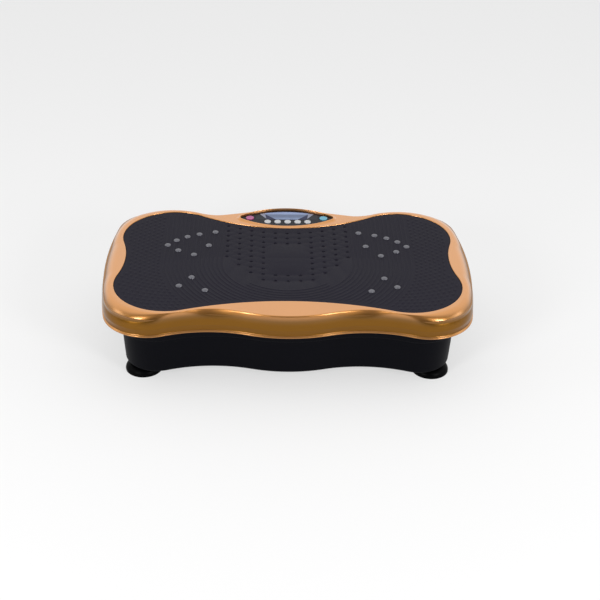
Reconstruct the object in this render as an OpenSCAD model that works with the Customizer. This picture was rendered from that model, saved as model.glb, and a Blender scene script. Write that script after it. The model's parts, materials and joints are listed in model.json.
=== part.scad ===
// Vibration plate: a rocking platform on a low base, driven by a motor, belt and crank.
// X runs left to right, Y front to rear and Z up. The origin is on the floor, under the middle.

/* [Overall] */
// Width of the platform, left to right
plate_w = 520; // [505:1:540]
// Depth of the platform, front to rear
plate_d = 310; // [304:1:325]
// Height from the floor to the top of the console
total_h = 120; // [117:0.5:128]

/* [Cover] */
// Height of the cover's side wall
rim_h = 33; // [31:0.5:36]
// Wall thickness of the cover
cover_t = 3; // [2.5:0.1:3.5]
// Radius of the corners in plan
corner_r = 64; // [60:1:68]
// Radius of the bowed left and right sides in plan
side_r = 600; // [500:10:800]
// Radius of the front and rear bulges in plan
bulge_r = 200; // [185:1:215]
// Depth of the dips beside each bulge
waist = 15; // [14:0.5:16]
// Radius of the side wall's bow in section
bow_r = 34; // [32:1:40]
// Drop from the top face to the widest part of the side wall
belly_drop = 20.5; // [19:0.5:22]
// Height of the lip along the lower edge
lip_h = 5; // [4:0.5:6]
// Width of the broken edge between the top face and the side wall
edge_w = 1.6; // [1:0.1:2.5]
// Thickness of the ribs under the cover
rib_t = 3; // [2:0.5:4]
// Depth of the ribs under the cover
rib_h = 6; // [4:0.5:7]

/* [Mat] */
// Thickness of the mat
mat_t = 3.5; // [3:0.1:4]
// Drop of the mat's face below the cover's top face
mat_drop = 0.5; // [0.2:0.1:0.8]
// Gap around the mat
mat_gap = 0.6; // [0.4:0.1:1]
// Radius of the mat's four lobes
lobe_r = 73.5; // [70:0.5:77]
// Margin from the mat's lobes to the cover's sides
mat_side_margin = 21.5; // [20:0.5:24]
// Margin from the mat's lobes to the cover's front and rear
mat_end_margin = 15; // [14:0.5:17]
// Depth of the mat's dip at each side
mat_pinch = 9.5; // [7:0.5:12]
// Depth of the mat's dip at the front
front_dip = 27.5; // [24:0.5:30]
// Depth of the mat's dip at the rear
rear_dip = 48; // [46:0.5:50]
// Diameter of the grip holes
grip_d = 4.6; // [3.5:0.1:5.5]
// Depth of the grip holes
grip_depth = 1.2; // [0.8:0.1:1.6]
// Spacing of the grip holes, left to right
grip_pitch_x = 17.2; // [16:0.1:18]
// Spacing of the grip holes, front to rear
grip_pitch_y = 15.1; // [14:0.1:16]

/* [Massage studs] */
// Diameter of a stud's dome
stud_d = 9; // [8:0.1:10]
// Height of a stud above the mat
stud_h = 2; // [1.5:0.1:3]
// Diameter of a stud's stem
stem_d = 5; // [4:0.1:6]
// Length of a stud's stem in the mat
stem_l = 2; // [1.5:0.1:2.4]

/* [Console] */
// Length of the fascia
fascia_l = 138; // [134:1:144]
// Depth of the fascia, front to rear
fascia_d = 48; // [46:0.5:50]
// Radius of the fascia's tips
tip_r = 5; // [4:0.5:7]
// Thickness of the fascia
fascia_t = 2; // [1.6:0.1:2.2]
// Margin from the fascia to the rear of the cover
fascia_margin = 9.5; // [9:0.5:10.5]
// Height of the fascia's face above the cover's top face
fascia_rise = 0.5; // [0.3:0.1:0.8]
// Gap around the fascia
fascia_gap = 0.3; // [0.2:0.05:0.5]
// Width of the ledge that the fascia rests on
ledge_w = 1.5; // [1.2:0.1:1.8]
// Height of the console ring above the top face, at the rear
console_rise = 4.5; // [3.5:0.5:5.5]
// Height of the console ring above the top face, at the front
console_front_rise = 1.5; // [1:0.1:2]
// Reach of the console ring beyond the fascia at its foot
ring_reach = 6; // [4.5:0.5:7]
// Reach of the console ring beyond the fascia at its crest
ring_crest = 1.5; // [1:0.1:2.5]
// Length of the display window
window_l = 94; // [86:1:98]
// Margin from the display window to the fascia's rear edge
window_margin = 3.5; // [3:0.5:5]
// Gap around the display window
window_gap = 0.1; // [0.05:0.05:0.2]

/* [Buttons] */
// Diameter of a button
button_d = 10; // [9:0.1:10.5]
// Spacing of the buttons in the row
button_pitch = 14.9; // [13.5:0.1:15.5]
// Distance of the button row in front of the fascia's middle
button_row = 11.5; // [11:0.1:12]
// Distance of each side button from the middle
side_button_x = 55; // [54:0.5:56]
// Height of a button above the fascia
button_rise = 1; // [0.8:0.1:1.5]
// Gap round a button in the fascia
button_gap = 0.35; // [0.3:0.05:0.5]
// Travel of a button
button_travel = 0.5; // [0.3:0.1:0.6]

/* [Display electronics] */
// Length of the display board
display_board_l = 118; // [117:0.5:120]
// Depth of the display board
display_board_d = 36; // [35:0.5:37]
// Thickness of the circuit boards
board_t = 1.6; // [1.2:0.1:2]
// Height of the space between the display board and the cover
display_space = 4.5; // [4.3:0.1:5]
// Length of the display module
module_l = 84; // [70:1:88]
// Depth of the display module
module_d = 17; // [12:0.5:18]
// Side of a tact switch
tact_w = 6; // [5:0.5:7]

/* [Base] */
// Margin from the base to the platform's sides
base_side_margin = 26; // [25:0.5:28]
// Margin from the base to the platform's front and rear
base_end_margin = 15.5; // [15:0.5:16.5]
// Radius of the base's corners in plan
base_corner_r = 48; // [46:1:50]
// Radius of the base's bowed sides in plan
base_side_r = 600; // [500:10:800]
// Radius of the base's front and rear bulges in plan
base_bulge_r = 190; // [180:1:200]
// Depth of the dips beside the base's bulges
base_waist = 13.4; // [13:0.1:14]
// Wall thickness of the base
base_wall = 3; // [2.5:0.1:3.5]
// Thickness of the base's floor
floor_t = 3; // [2.5:0.1:4]
// How far the base draws in towards its bottom
base_draft = 3; // [2:0.5:4]
// Radius of the base's bottom edge
base_edge_r = 3; // [2:0.5:4]
// Drop from the cover's lower edge to the shoulder of the base
shoulder_drop = 16.5; // [14:0.5:18]
// Height of the shoulder
shoulder_h = 6; // [5:0.5:8]
// How far the shoulder flares out
flare = 6.5; // [5:0.5:7]
// How far the base reaches up inside the cover
base_lap = 9.5; // [8:0.5:10]

/* [Feet] */
// Height of the feet under the base
foot_h = 15.5; // [14:0.5:17]
// Radius of a foot's cup
foot_r = 25.5; // [24:0.5:27]
// Width of the flat ring that a foot stands on
foot_ring = 4; // [3:0.5:5]
// Radius of a foot's collar under the base
collar_r = 14; // [12:0.5:15]
// Margin from the feet's centres to the platform's sides
foot_side_margin = 62; // [61:0.5:66]
// Margin from the feet's centres to the platform's front and rear
foot_end_margin = 52; // [51:0.5:56]

/* [Platform frame] */
// Width of the platform frame
frame_w = 390; // [370:1:400]
// Reach of the platform frame beyond the front pivot
frame_front_lap = 23; // [20:0.5:25]
// Reach of the platform frame beyond the rear pivot
frame_rear_lap = 22; // [20:0.5:24]
// Thickness of the platform frame
frame_t = 4; // [3:0.5:5]

/* [Pivot] */
// Drop from the platform frame to the rocking axis
pivot_drop = 20.5; // [19:0.5:22]
// Radius of the pivot pins
pivot_r = 6; // [5:0.5:7]
// Wall of the pivot bushes
bush_t = 2; // [1.5:0.5:3]
// Margin from the front pivot to the chassis plate's front edge
front_pivot_margin = 15; // [13:0.5:18]
// Margin from the rear pivot to the chassis plate's rear edge
rear_pivot_margin = 36; // [34:0.5:38]
// Thickness of the pedestals
pedestal_t = 20; // [18:1:22]
// Radius of a pedestal's head
pedestal_r = 14; // [13:0.5:15]
// Thickness of the frame's pivot lugs
lug_t = 6; // [5:0.5:7]
// Side clearance between lug and pedestal
lug_gap = 0.5; // [0.3:0.1:1]
// Thickness of the pin clips
clip_t = 1.2; // [1:0.1:1.5]

/* [Crank] */
// Distance from the crank's axis to the motor's axis
shaft_span = 85; // [82:0.5:88]
// Throw of the eccentric
throw = 1.7; // [1.2:0.1:2]
// Radius of the crankshaft
crank_r = 8; // [7:0.5:8.5]
// Radius of the eccentric
eccentric_r = 11; // [10.5:0.5:12.5]
// Radius of the crank bearings
crank_bearing_r = 14; // [13:0.5:15]
// Length of the crank bearings
crank_bearing_l = 10; // [8:0.5:12]
// Thickness of the bearing blocks
block_t = 14; // [13:0.5:15]
// Thickness of the connecting rod
rod_t = 14; // [12:0.5:15]
// Distance between the connecting rod's eyes
rod_l = 30; // [28:0.5:32]
// Wall round the connecting rod's eyes
rod_wall = 4; // [3:0.5:5]
// Wall of the connecting rod's bearing
rod_bearing_t = 3; // [2.5:0.5:4.5]
// Radius of the drive pin on the platform
drive_pin_r = 5; // [4:0.5:5.5]
// Thickness of the drive clevis' ears
ear_t = 5; // [4:0.5:5]
// Clearance between rod, ears and blocks along the axis
rod_gap = 1.2; // [1:0.1:1.5]

/* [Motor and belt] */
// Margin from the motor's axis to the base's right side
motor_margin = 84; // [81:0.5:86]
// Radius of the motor
motor_r = 30; // [28:0.5:31]
// Length of the motor's can
motor_l = 100; // [95:1:105]
// Wall of the motor's can
can_t = 3; // [2:0.5:4]
// Thickness of the motor's end bells
bell_t = 6; // [5:0.5:8]
// Radius of the motor's shaft
motor_shaft_r = 5; // [4:0.5:5.5]
// Radius of the armature
armature_r = 20; // [18:0.5:21]
// Thickness of the cradle under the motor
cradle_t = 2.5; // [2:0.5:4]
// Length of the cradle's plate
cradle_l = 70; // [60:1:74]
// Width of the motor's strap
strap_w = 24; // [20:1:28]
// Thickness of the motor's strap
strap_t = 2; // [1.5:0.5:3]
// Radius of the belt seat on the driven pulley
big_pulley_r = 17; // [16:0.5:19]
// Radius of the belt seat on the motor pulley
small_pulley_r = 7; // [6.5:0.5:9]
// Width of the belt
belt_w = 14; // [12:0.5:15]
// Thickness of the belt
belt_t = 2; // [1.5:0.1:2.5]
// Distance from the middle of the rod to the middle of the belt
belt_y = 44; // [43.5:0.5:46]
// Thickness of a pulley's flanges
flange_t = 1.6; // [1.2:0.1:2]

/* [Chassis] */
// Thickness of the chassis plate
chassis_t = 3; // [2.5:0.5:4]
// Margin from the chassis plate to the base's sides
chassis_side_margin = 38; // [36:0.5:41]
// Margin from the chassis plate to the base's front and rear
chassis_end_margin = 39.5; // [36.5:0.5:41.5]

/* [Control board] */
// Margin from the control board to the chassis plate's left edge
board_margin = 16; // [12:0.5:20]
// Length of the control board
board_l = 104; // [100:1:108]
// Depth of the control board
board_d = 84; // [80:1:88]
// Height of the control board's stand-offs
standoff_h = 8; // [6:0.5:10]
// Radius of the capacitors
capacitor_r = 9; // [7:0.5:10]
// Height of the capacitors
capacitor_h = 28; // [24:1:34]

/* [Power inlet] */
// Height of the inlet's middle above the base's floor
inlet_rise = 25; // [24:0.5:26]
// Depth of the inlet's pocket in the base's rear
pocket_depth = 8.5; // [7.5:0.5:9.5]
// Width of the inlet's flange
inlet_w = 62; // [60:0.5:64]
// Height of the inlet's flange
inlet_h = 33; // [32:0.5:34]
// Thickness of the inlet's flange
inlet_t = 2; // [1.5:0.1:2.5]
// Step from the inlet's flange to its body
inlet_step = 3; // [2.5:0.1:3.5]
// Length of the inlet's body behind its flange
inlet_body = 26; // [24:0.5:28]
// Width of the socket
socket_w = 25; // [24:0.1:26]
// Height of the socket
socket_h = 16.6; // [16:0.1:17]
// Depth of the socket
socket_depth = 18; // [17:0.5:19]
// Length of the socket's pins
socket_pin_l = 12; // [10:0.5:12.5]
// Width of the rocker
rocker_w = 14.2; // [13:0.1:15]
// Height of the rocker
rocker_h = 20.8; // [20:0.1:21.4]
// Swing of the rocker from off to on, in degrees
rocker_swing = 16; // [12:1:18]

/* [Fits and fasteners] */
// Radial clearance of a running fit
running_gap = 0.05; // [0.02:0.01:0.09]
// Clearance of a fixed fit
seat_gap = 0.02; // [0.01:0.01:0.05]
// Radial clearance of a screw in its hole
screw_gap = 0.1; // [0.1:0.05:0.2]
// Radius of the large bolts
bolt_r = 3; // [2.5:0.5:3.5]
// Radius of the screws
screw_r = 2; // [1.5:0.5:2.5]
// Radius of the foot screws
foot_screw_r = 2.5; // [2:0.5:3]

/* [Leads] */
// Radius of the internal leads
lead_r = 2.2; // [1.5:0.1:3]

/* [Hidden] */
$fn = 64;
cut = 1;

// Levels, from the floor up
floor_z = foot_h + floor_t;
chassis_z = floor_z + chassis_t;
motor_z = chassis_z + cradle_t + motor_r;
top_z = total_h - console_rise;
rim_z = top_z - rim_h;
shoulder_z = rim_z - shoulder_drop;
base_top_z = rim_z + base_lap;
recess_z = top_z - mat_drop - mat_t;
mat_z = top_z - mat_drop;
ceiling_z = top_z - cover_t;
tray_z = recess_z - cover_t;
frame_z = tray_z - frame_t;
pivot_z = frame_z - pivot_drop;
drive_z = pivot_z - rod_l;
fascia_z = top_z + fascia_rise;
ledge_z = fascia_z - fascia_t;
display_z = ceiling_z - display_space;
board_z = chassis_z + standoff_h;
inlet_z = floor_z + inlet_rise;

// Outline of the cover and the base
base_w = plate_w - 2 * base_side_margin;
base_d = plate_d - 2 * base_end_margin;
outline_steps = [6, 10, 7, 4];

// Chassis plate, pivots and platform frame
chassis_w = base_w - 2 * chassis_side_margin;
chassis_d = base_d - 2 * chassis_end_margin;
front_pivot_y = chassis_d / 2 - front_pivot_margin;
rear_pivot_y = chassis_d / 2 - rear_pivot_margin;
frame_front = front_pivot_y + frame_front_lap;
frame_rear = rear_pivot_y + frame_rear_lap;

// Outline of the mat
lobe_x = plate_w / 2 - mat_side_margin - lobe_r;
lobe_y = plate_d / 2 - mat_end_margin - lobe_r;
mat_steps = [4, 13, 8];

// Console
fascia_y = plate_d / 2 - fascia_margin - fascia_d / 2;
window_front_y = -4;
button_flange = 1;
button_lift = 0.1;
tact_gap = 0.2;
button_shift = 1.2;
button_posts = [for (i = [-2:2]) [i * button_pitch + button_shift, fascia_y - button_row]];
left_button_post = [-side_button_x, fascia_y];
right_button_post = [side_button_x, fascia_y];
display_screw_inset = 4;

// Feet
foot_x = plate_w / 2 - foot_side_margin;
foot_y = plate_d / 2 - foot_end_margin;
foot_posts = [for (x = [-foot_x, foot_x], y = [-foot_y, foot_y]) [x, y]];
foot_boss_h = 8;
foot_boss_r = [7, 5.5];
foot_tip_gap = 2;
foot_seat = 8;
foot_head = [5, 3];
foot_head_gap = 0.6;
foot_neck_r = 11;
foot_lip = 1.2;
foot_cup = [8, 3];
collar_h = 3;
neck_h = 1;

// Massage studs on the right half of the mat
stud_posts = [
    [105, 78], [128, 71], [145, 63], [160, 52], [172, 38], [156, 23],
    [133, 11], [113, 38], [133, -52], [149, -75], [113, -86]
];

// Grip holes: rows that curve towards the rear at the sides, round a bare middle
grip_bend = 0.87;
grip_columns = 5;
grip_rows = 6;
grip_bare = [1, 2];
grip_margin = 7;
grip_front_y = -74;
grip_front_rise = 75.2;

// Fasteners: head radius and head height
bolt_head = [5.5, 4];
screw_head = [4, 1.6];
small_screw_r = 1.25;
small_head = [2.6, 1.8];
tip_gap = 0.5;
cover_post_x = 155;
cover_post_front = 58;
cover_post_rear = 40;
cover_posts = [for (x = [-cover_post_x, 0, cover_post_x], y = [-cover_post_front, cover_post_rear]) [x, y]];
chassis_edge = [12, 8];
chassis_mid_x = 70;
chassis_corner = [chassis_w / 2, chassis_d / 2] - chassis_edge;
chassis_posts = [
    for (x = [-chassis_corner.x, -chassis_mid_x, chassis_mid_x, chassis_corner.x], s = [-1, 1])
        [x, s * chassis_corner.y]
];
frame_corner_r = 14;
lug_top_w = 44;
lug_wall = 7;
ear_top_w = 34;
ear_wall = 5;
groove_depth = 1;
clip_rise = 3;
pedestal_foot = [80, 32, 6];
pedestal_bolt_x = 31;
block_foot = [70, 6];
block_wall = 6;
block_bolt_x = 28;
cradle_foot = [88, 5];
cradle_bolts = [36, 26];
strap_ear = [10.5, 3];
strap_ear_x = motor_r + strap_ear[0];
strap_screw_x = motor_r + 6.3;
arm_drop = 6;
standoff_r = 3.5;
standoff_inset = 5;

// Drive across and along the crank's axis
motor_x = base_w / 2 - motor_margin;
crank_x = motor_x - shaft_span;
ear_side_gap = 0.8;
block_y = rod_t / 2 + rod_gap + ear_t + ear_side_gap;
collar_step = 2;
collar_gap = 0.3;
rod_bore_r = eccentric_r + running_gap + rod_bearing_t + seat_gap;
open_eye_gap = 0.9;
small_eye_r = drive_pin_r + 2 * throw + open_eye_gap;
pulley_w = belt_w + 2 * flange_t + 1;
flange_rise = belt_t + 1;
belt_gap = 0.3;
motor_y = [belt_y - pulley_w / 2 - 5 - bell_t - motor_l, belt_y - pulley_w / 2 - 5 - bell_t];
motor_mid_y = (motor_y[0] + motor_y[1]) / 2;
magnet_gap = 1;

// Control board
board_x = chassis_w / 2 - board_margin - board_l / 2;
board_right = board_l / 2 - board_x;
sink_l = 42;
sink_d = 22;
sink_h = 24;
sink_web = 3;
sink_fin = 2;
sink_side = 6;
sink_front = 8;
core_l = 36;
core_d = 30;
core_h = 26;
coil_l = 24;
coil_d = 36;
coil_h = 18;
core_y = 12;

// Power inlet
pocket_y = base_d / 2 - pocket_depth;
inlet_body_w = inlet_w - 2 * inlet_step;
inlet_body_h = inlet_h - 2 * inlet_step;
socket_x = -inlet_body_w / 2 + 2 + socket_w / 2;
socket_z = inlet_z - inlet_body_h / 2 + 1.6 + socket_h / 2;
fuse_h = 5.4;
fuse_z = socket_z + socket_h / 2 + 1.2 + fuse_h / 2;
fuse_l = 14;
rocker_x = inlet_body_w / 2 - 4 - rocker_w / 2;
rocker_y = pocket_y + inlet_t - 6;
rocker_gap = [0.4, 1.2];
rocker_pin_r = 1.4;
rocker_pin_l = 2;
rocker_depth = 5;
rocker_well = 14;

// Leads: routes from piece to piece
terminal_w = 16;
terminal_d = 10;
terminal_h = 9;
terminal_pitch = 33;
terminal_shift = 2.5;
terminal_edge = 6;
terminal_y = board_d / 2 - terminal_edge;
terminal_posts = [for (i = [-1:1]) [-board_x + terminal_shift + i * terminal_pitch, terminal_y]];
lead_end_gap = 0.3;
terminal_exit_y = terminal_y + terminal_d / 2 + lead_end_gap;
lead_z = board_z + board_t + terminal_h / 2;
header = [10, 6, 8];
header_gap = 0.8;
inlet_back_y = pocket_y - inlet_body;
display_route = [
    [terminal_posts[0].x, terminal_exit_y, lead_z], [terminal_posts[0].x, terminal_exit_y + 12, lead_z],
    [-130, inlet_back_y - 27, 32], [-90, inlet_back_y - 13, 30], [-45, inlet_back_y - 8, 38],
    [-16, inlet_back_y - 7, 58], [-3, inlet_back_y + 3, 80],
    [0, fascia_y, display_z - board_t - header.z - 10],
    [0, fascia_y, display_z - board_t - header.z - header_gap]
];
mains_route = [
    [socket_x, inlet_back_y - lead_end_gap, socket_z], [socket_x, inlet_back_y - 10, socket_z],
    [-30, inlet_back_y - 17, 33], [-70, inlet_back_y - 25, 29], [-110, inlet_back_y - 37, 32],
    [terminal_posts[1].x, terminal_exit_y + 12, lead_z], [terminal_posts[1].x, terminal_exit_y, lead_z]
];
motor_lead_z = motor_z + 14;
motor_route = [
    [terminal_posts[2].x, terminal_exit_y, lead_z], [terminal_posts[2].x, terminal_exit_y + 8, lead_z - 1],
    [board_right + 6, 40, 30], [board_right + 20, 0, 27], [board_right + 32, -40, 26],
    [0, 33 - front_pivot_y, 26], [crank_x - 5, 31 - front_pivot_y, 26], [motor_x - 50, -80, 30],
    [motor_x - 25, -98, 46], [motor_x - 10, motor_y[0] - bell_t - 18, 62],
    [motor_x, motor_y[0] - bell_t - 14, motor_lead_z],
    [motor_x, motor_y[0] - bell_t - lead_end_gap, motor_lead_z]
];

// Outlines in plan

function arc(c, r, a0, a1, n) = [
    for (i = [0:n - 1])
        let (a = a0 + (a1 - a0) * i / n)
        c + r * [cos(a), sin(a)]
];

function heading(from, to) = atan2(to.y - from.y, to.x - from.x);

// Closes a right rear quarter and a right front quarter, both drawn from the side, into a whole outline
function four_quarters(rear, front) =
    let (m = len(rear) - 1)
    concat(
        [for (i = [0:m - 1]) rear[i]],
        [for (i = [0:m - 1]) [-rear[m - i].x, rear[m - i].y]],
        [for (i = [0:m - 1]) [-front[i].x, -front[i].y]],
        [for (i = [0:m - 1]) [front[m - i].x, -front[m - i].y]]
    );

// Bowed side, round corner, dip and bulge, each an arc tangent to the next
function wave_outline(w, d, corner, side, bulge, dip, inset) =
    let (
        s = [w / 2 - side, 0],
        c_y = d / 2 - corner,
        c = [s.x + sqrt(pow(side - corner, 2) - c_y * c_y), c_y],
        dip_x = (c.x * c.x + 2 * dip * (bulge - corner)) / (2 * c.x),
        dip_r = (dip_x * dip_x + dip * dip) / (2 * dip) - bulge,
        v = [dip_x, d / 2 - dip + dip_r],
        b = [0, d / 2 - bulge],
        quarter = concat(
            arc(s, side - inset, 0, heading(s, c), outline_steps[0]),
            arc(c, corner - inset, heading(s, c), heading(c, v), outline_steps[1]),
            arc(v, dip_r + inset, heading(v, c), heading(v, b), outline_steps[2]),
            arc(b, bulge - inset, heading(b, v), 90, outline_steps[3]),
            [[0, d / 2 - inset]]
        )
    )
    four_quarters(quarter, quarter);

function cover_outline(inset) = wave_outline(plate_w, plate_d, corner_r, side_r, bulge_r, waist, inset);

function base_outline(inset) =
    wave_outline(base_w, base_d, base_corner_r, base_side_r, base_bulge_r, base_waist, inset);

// Side dip, lobe and end dip, each an arc tangent to the next
function mat_quarter(end_dip, inset) =
    let (
        lobe = [lobe_x, lobe_y],
        reach = lobe_r - mat_pinch,
        side_dip_r = (reach * reach + lobe_y * lobe_y - lobe_r * lobe_r) / (2 * mat_pinch),
        side = [lobe_x + reach + side_dip_r, 0],
        rise = lobe_r - end_dip,
        end_dip_r = (lobe_x * lobe_x + rise * rise - lobe_r * lobe_r) / (2 * end_dip),
        end = [0, lobe_y + rise + end_dip_r]
    )
    concat(
        arc(side, side_dip_r + inset, 180, heading(side, lobe), mat_steps[0]),
        arc(lobe, lobe_r - inset, heading(lobe, side), heading(lobe, end), mat_steps[1]),
        arc(end, end_dip_r + inset, heading(end, lobe), -90, mat_steps[2]),
        [[0, end.y - end_dip_r - inset]]
    );

function mat_outline(inset) = four_quarters(mat_quarter(rear_dip, inset), mat_quarter(front_dip, inset));

// Half depth of the mat's clear field at a given X, less a margin, towards the rear
function mat_rear_y(x) =
    let (
        rise = lobe_r - rear_dip,
        r = (lobe_x * lobe_x + rise * rise - lobe_r * lobe_r) / (2 * rear_dip)
    )
    lobe_y + rise + r - sqrt(r * r - x * x);

// Eye shape: two long arcs joined by round tips, grown outwards by grow
function eye_outline(grow) =
    let (
        tip = fascia_l / 2 - tip_r,
        rise = fascia_d / 2 - tip_r,
        drop = (tip * tip - rise * rise) / (2 * rise),
        long_r = drop + fascia_d / 2,
        turn = atan2(drop, tip),
        half = concat(
            arc([tip, 0], tip_r + grow, 0, turn, 4),
            arc([0, -drop], long_r + grow, turn, 90, 10),
            [[0, fascia_d / 2 + grow]]
        )
    )
    [for (p = four_quarters(half, half)) p + [0, fascia_y]];

function rounded_rectangle(low, high, r) = concat(
    arc([high.x - r, high.y - r], r, 0, 90, 5), [[high.x - r, high.y]],
    arc([low.x + r, high.y - r], r, 90, 180, 5), [[low.x, high.y - r]],
    arc([low.x + r, low.y + r], r, 180, 270, 5), [[low.x + r, low.y]],
    arc([high.x - r, low.y + r], r, 270, 360, 5), [[high.x, low.y + r]]
);

// Closed loop around two discs, the first one larger
function loop_outline(c1, r1, c2, r2) =
    let (
        way = c2 - c1,
        turn = atan2(way.y, way.x),
        a = acos((r1 - r2) / norm(way))
    )
    concat(
        arc(c1, r1, turn + a, turn + 360 - a, 36), [c1 + r1 * [cos(turn - a), sin(turn - a)]],
        arc(c2, r2, turn - a, turn + a, 36), [c2 + r2 * [cos(turn + a), sin(turn + a)]]
    );

// Sections

// Inset of the cover's side wall at a height: a bow that is widest at the belly
function bow(z) = bow_r - sqrt(bow_r * bow_r - pow(z - top_z + belly_drop, 2));

function cover_section() =
    let (low = rim_z + lip_h, high = top_z - edge_w / 2)
    concat(
        [[0.8, rim_z], [0, rim_z + 1], [0, rim_z + 2.4]],
        [for (i = [0:8]) let (z = low + (high - low) * i / 8) [bow(z), z]],
        [[bow(high) + edge_w * 0.4, top_z - edge_w * 0.12], [bow(high) + edge_w, top_z]]
    );

function cavity_section() =
    let (low = rim_z + lip_h)
    concat(
        [[bow(low) + cover_t, rim_z - cut]],
        [for (i = [0:5]) let (z = low + (ceiling_z - low) * i / 5) [bow(z) + cover_t, z]]
    );

// Inset of the base's wall below the shoulder, from nothing there to the full draft at the bottom
function draft(z) = base_draft * pow((shoulder_z - z) / (shoulder_z - foot_h), 1.2);

function base_section(step) =
    let (low = foot_h + base_edge_r)
    concat(
        [for (i = [0:3]) let (a = 30 * i)
            [draft(low) + step + base_edge_r * (1 - sin(a)), low - base_edge_r * cos(a)]],
        [for (i = [1:4]) let (z = low + (shoulder_z - low) * i / 4) [draft(z) + step, z]],
        [for (i = [1:4]) let (t = i / 4)
            [step - flare * (1 - cos(180 * t)) / 2, shoulder_z + shoulder_h * t]],
        [[step - flare, base_top_z]]
    );

// Sweeps

function ring(points, z) = [for (p = points) [p.x, p.y, z]];

// Skin over a stack of rings with the same number of points
module loft(rings) {
    n = len(rings[0]);
    m = len(rings);
    polyhedron(
        points = [for (r = rings, p = r) p],
        faces = concat(
            [[for (i = [0:n - 1]) i]],
            [
                for (k = [0:m - 2], i = [0:n - 1])
                    let (j = (i + 1) % n)
                    each [
                        [k * n + i, (k + 1) * n + i, (k + 1) * n + j],
                        [k * n + i, (k + 1) * n + j, k * n + j]
                    ]
            ],
            [[for (i = [n - 1:-1:0]) (m - 1) * n + i]]
        ),
        convexity = 10
    );
}

function unit(v) = v / norm(v);

// Smooth curve through a route's points
function curve(p, steps) =
    let (last = len(p) - 1)
    concat(
        [
            for (i = [0:last - 1], k = [0:steps - 1])
                let (
                    t = k / steps,
                    a = p[max(i - 1, 0)],
                    b = p[i],
                    c = p[i + 1],
                    d = p[min(i + 2, last)]
                )
                b + ((c - a) * t + (2 * a - 5 * b + 4 * c - d) * t * t
                    + (3 * b - a - 3 * c + d) * t * t * t) / 2
        ],
        [p[last]]
    );

// Carries a side vector along a route without twist
function carried(t, i, side) =
    i == len(t) ? [] :
    let (s = unit(side - (side * t[i]) * t[i]))
    concat([s], carried(t, i + 1, s));

module lead(route, r) {
    path = curve(route, 3);
    last = len(path) - 1;
    ends = len(route) - 1;
    along = [
        for (i = [0:last])
            i == 0 ? unit(route[1] - route[0]) :
            i == last ? unit(route[ends] - route[ends - 1]) :
            unit(path[i + 1] - path[i - 1])
    ];
    side = carried(along, 0, [0.3, 0.2, 1]);
    loft([
        for (i = [last:-1:0])
            let (up = cross(along[i], side[i]))
            [for (k = [0:7]) path[i] + r * (cos(45 * k) * side[i] + sin(45 * k) * up)]
    ]);
}

module prism(points, low, high) {
    translate([0, 0, low])
        linear_extrude(high - low)
            polygon(points);
}

// Extrudes a shape drawn in X and Z from one Y to another
module along_y(y0, y1) {
    translate([0, y1, 0])
        rotate([90, 0, 0])
            linear_extrude(y1 - y0)
                children();
}

module disc_y(x, z, r, y0, y1) {
    translate([x, y0, z])
        rotate([-90, 0, 0])
            cylinder(r = r, h = y1 - y0);
}

module hole(p, r, low, high) {
    translate([p.x, p.y, low])
        cylinder(r = r, h = high - low);
}

// Round-headed screw that points down, with the underside of its head at a height
module screw(p, z, r, l, head) {
    hole(p, head[0], z, z + head[1]);
    hole(p, r, z - l, z + head[1] / 2);
}

// The same screw, pointing up
module screw_up(p, z, r, l, head) {
    hole(p, head[0], z - head[1], z);
    hole(p, r, z - head[1] / 2, z + l);
}

module hex_bolt(p, z, r, l, head) {
    translate([p.x, p.y, z])
        cylinder(r = head[0], h = head[1], $fn = 6);
    hole(p, r, z - l, z + head[1] / 2);
}

// Platform

function console_crest(p) =
    let (half = fascia_d / 2 + ring_crest)
    top_z + console_front_rise
        + (console_rise - console_front_rise) * (p.y - fascia_y + half) / (2 * half);

module console_ring() {
    loft([
        ring(eye_outline(ring_reach), top_z - cover_t / 2),
        ring(eye_outline(ring_reach), top_z),
        [for (p = eye_outline(ring_crest)) [p.x, p.y, console_crest(p)]]
    ]);
}

// Rib from the mat's tray towards the skirt
module cover_rib(from, to) {
    hull() {
        hole(from, rib_t / 2, ceiling_z - rib_h, ceiling_z + cover_t / 3, $fn = 16);
        hole(to, rib_t / 2, ceiling_z - rib_h / 2, ceiling_z + cover_t / 3, $fn = 16);
    }
}

module cover_ribs() {
    front = lobe_y + lobe_r - front_dip;
    side = lobe_x + lobe_r - mat_pinch;
    rim = 14;
    for (x = [-60, -20, 20, 60])
        cover_rib([x, -front - cover_t], [x, -plate_d / 2 + waist + rim]);
    for (s = [-1, 1], y = [-24, 24])
        cover_rib([s * (side + cover_t), y], [s * (plate_w / 2 - rim), y]);
}

display_screw_x = display_board_l / 2 - display_screw_inset;
display_screw_y = display_board_d / 2 - display_screw_inset;
display_posts = [
    for (x = [-1, 1], y = [-1, 1]) [x * display_screw_x, fascia_y + y * display_screw_y]
];

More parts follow.
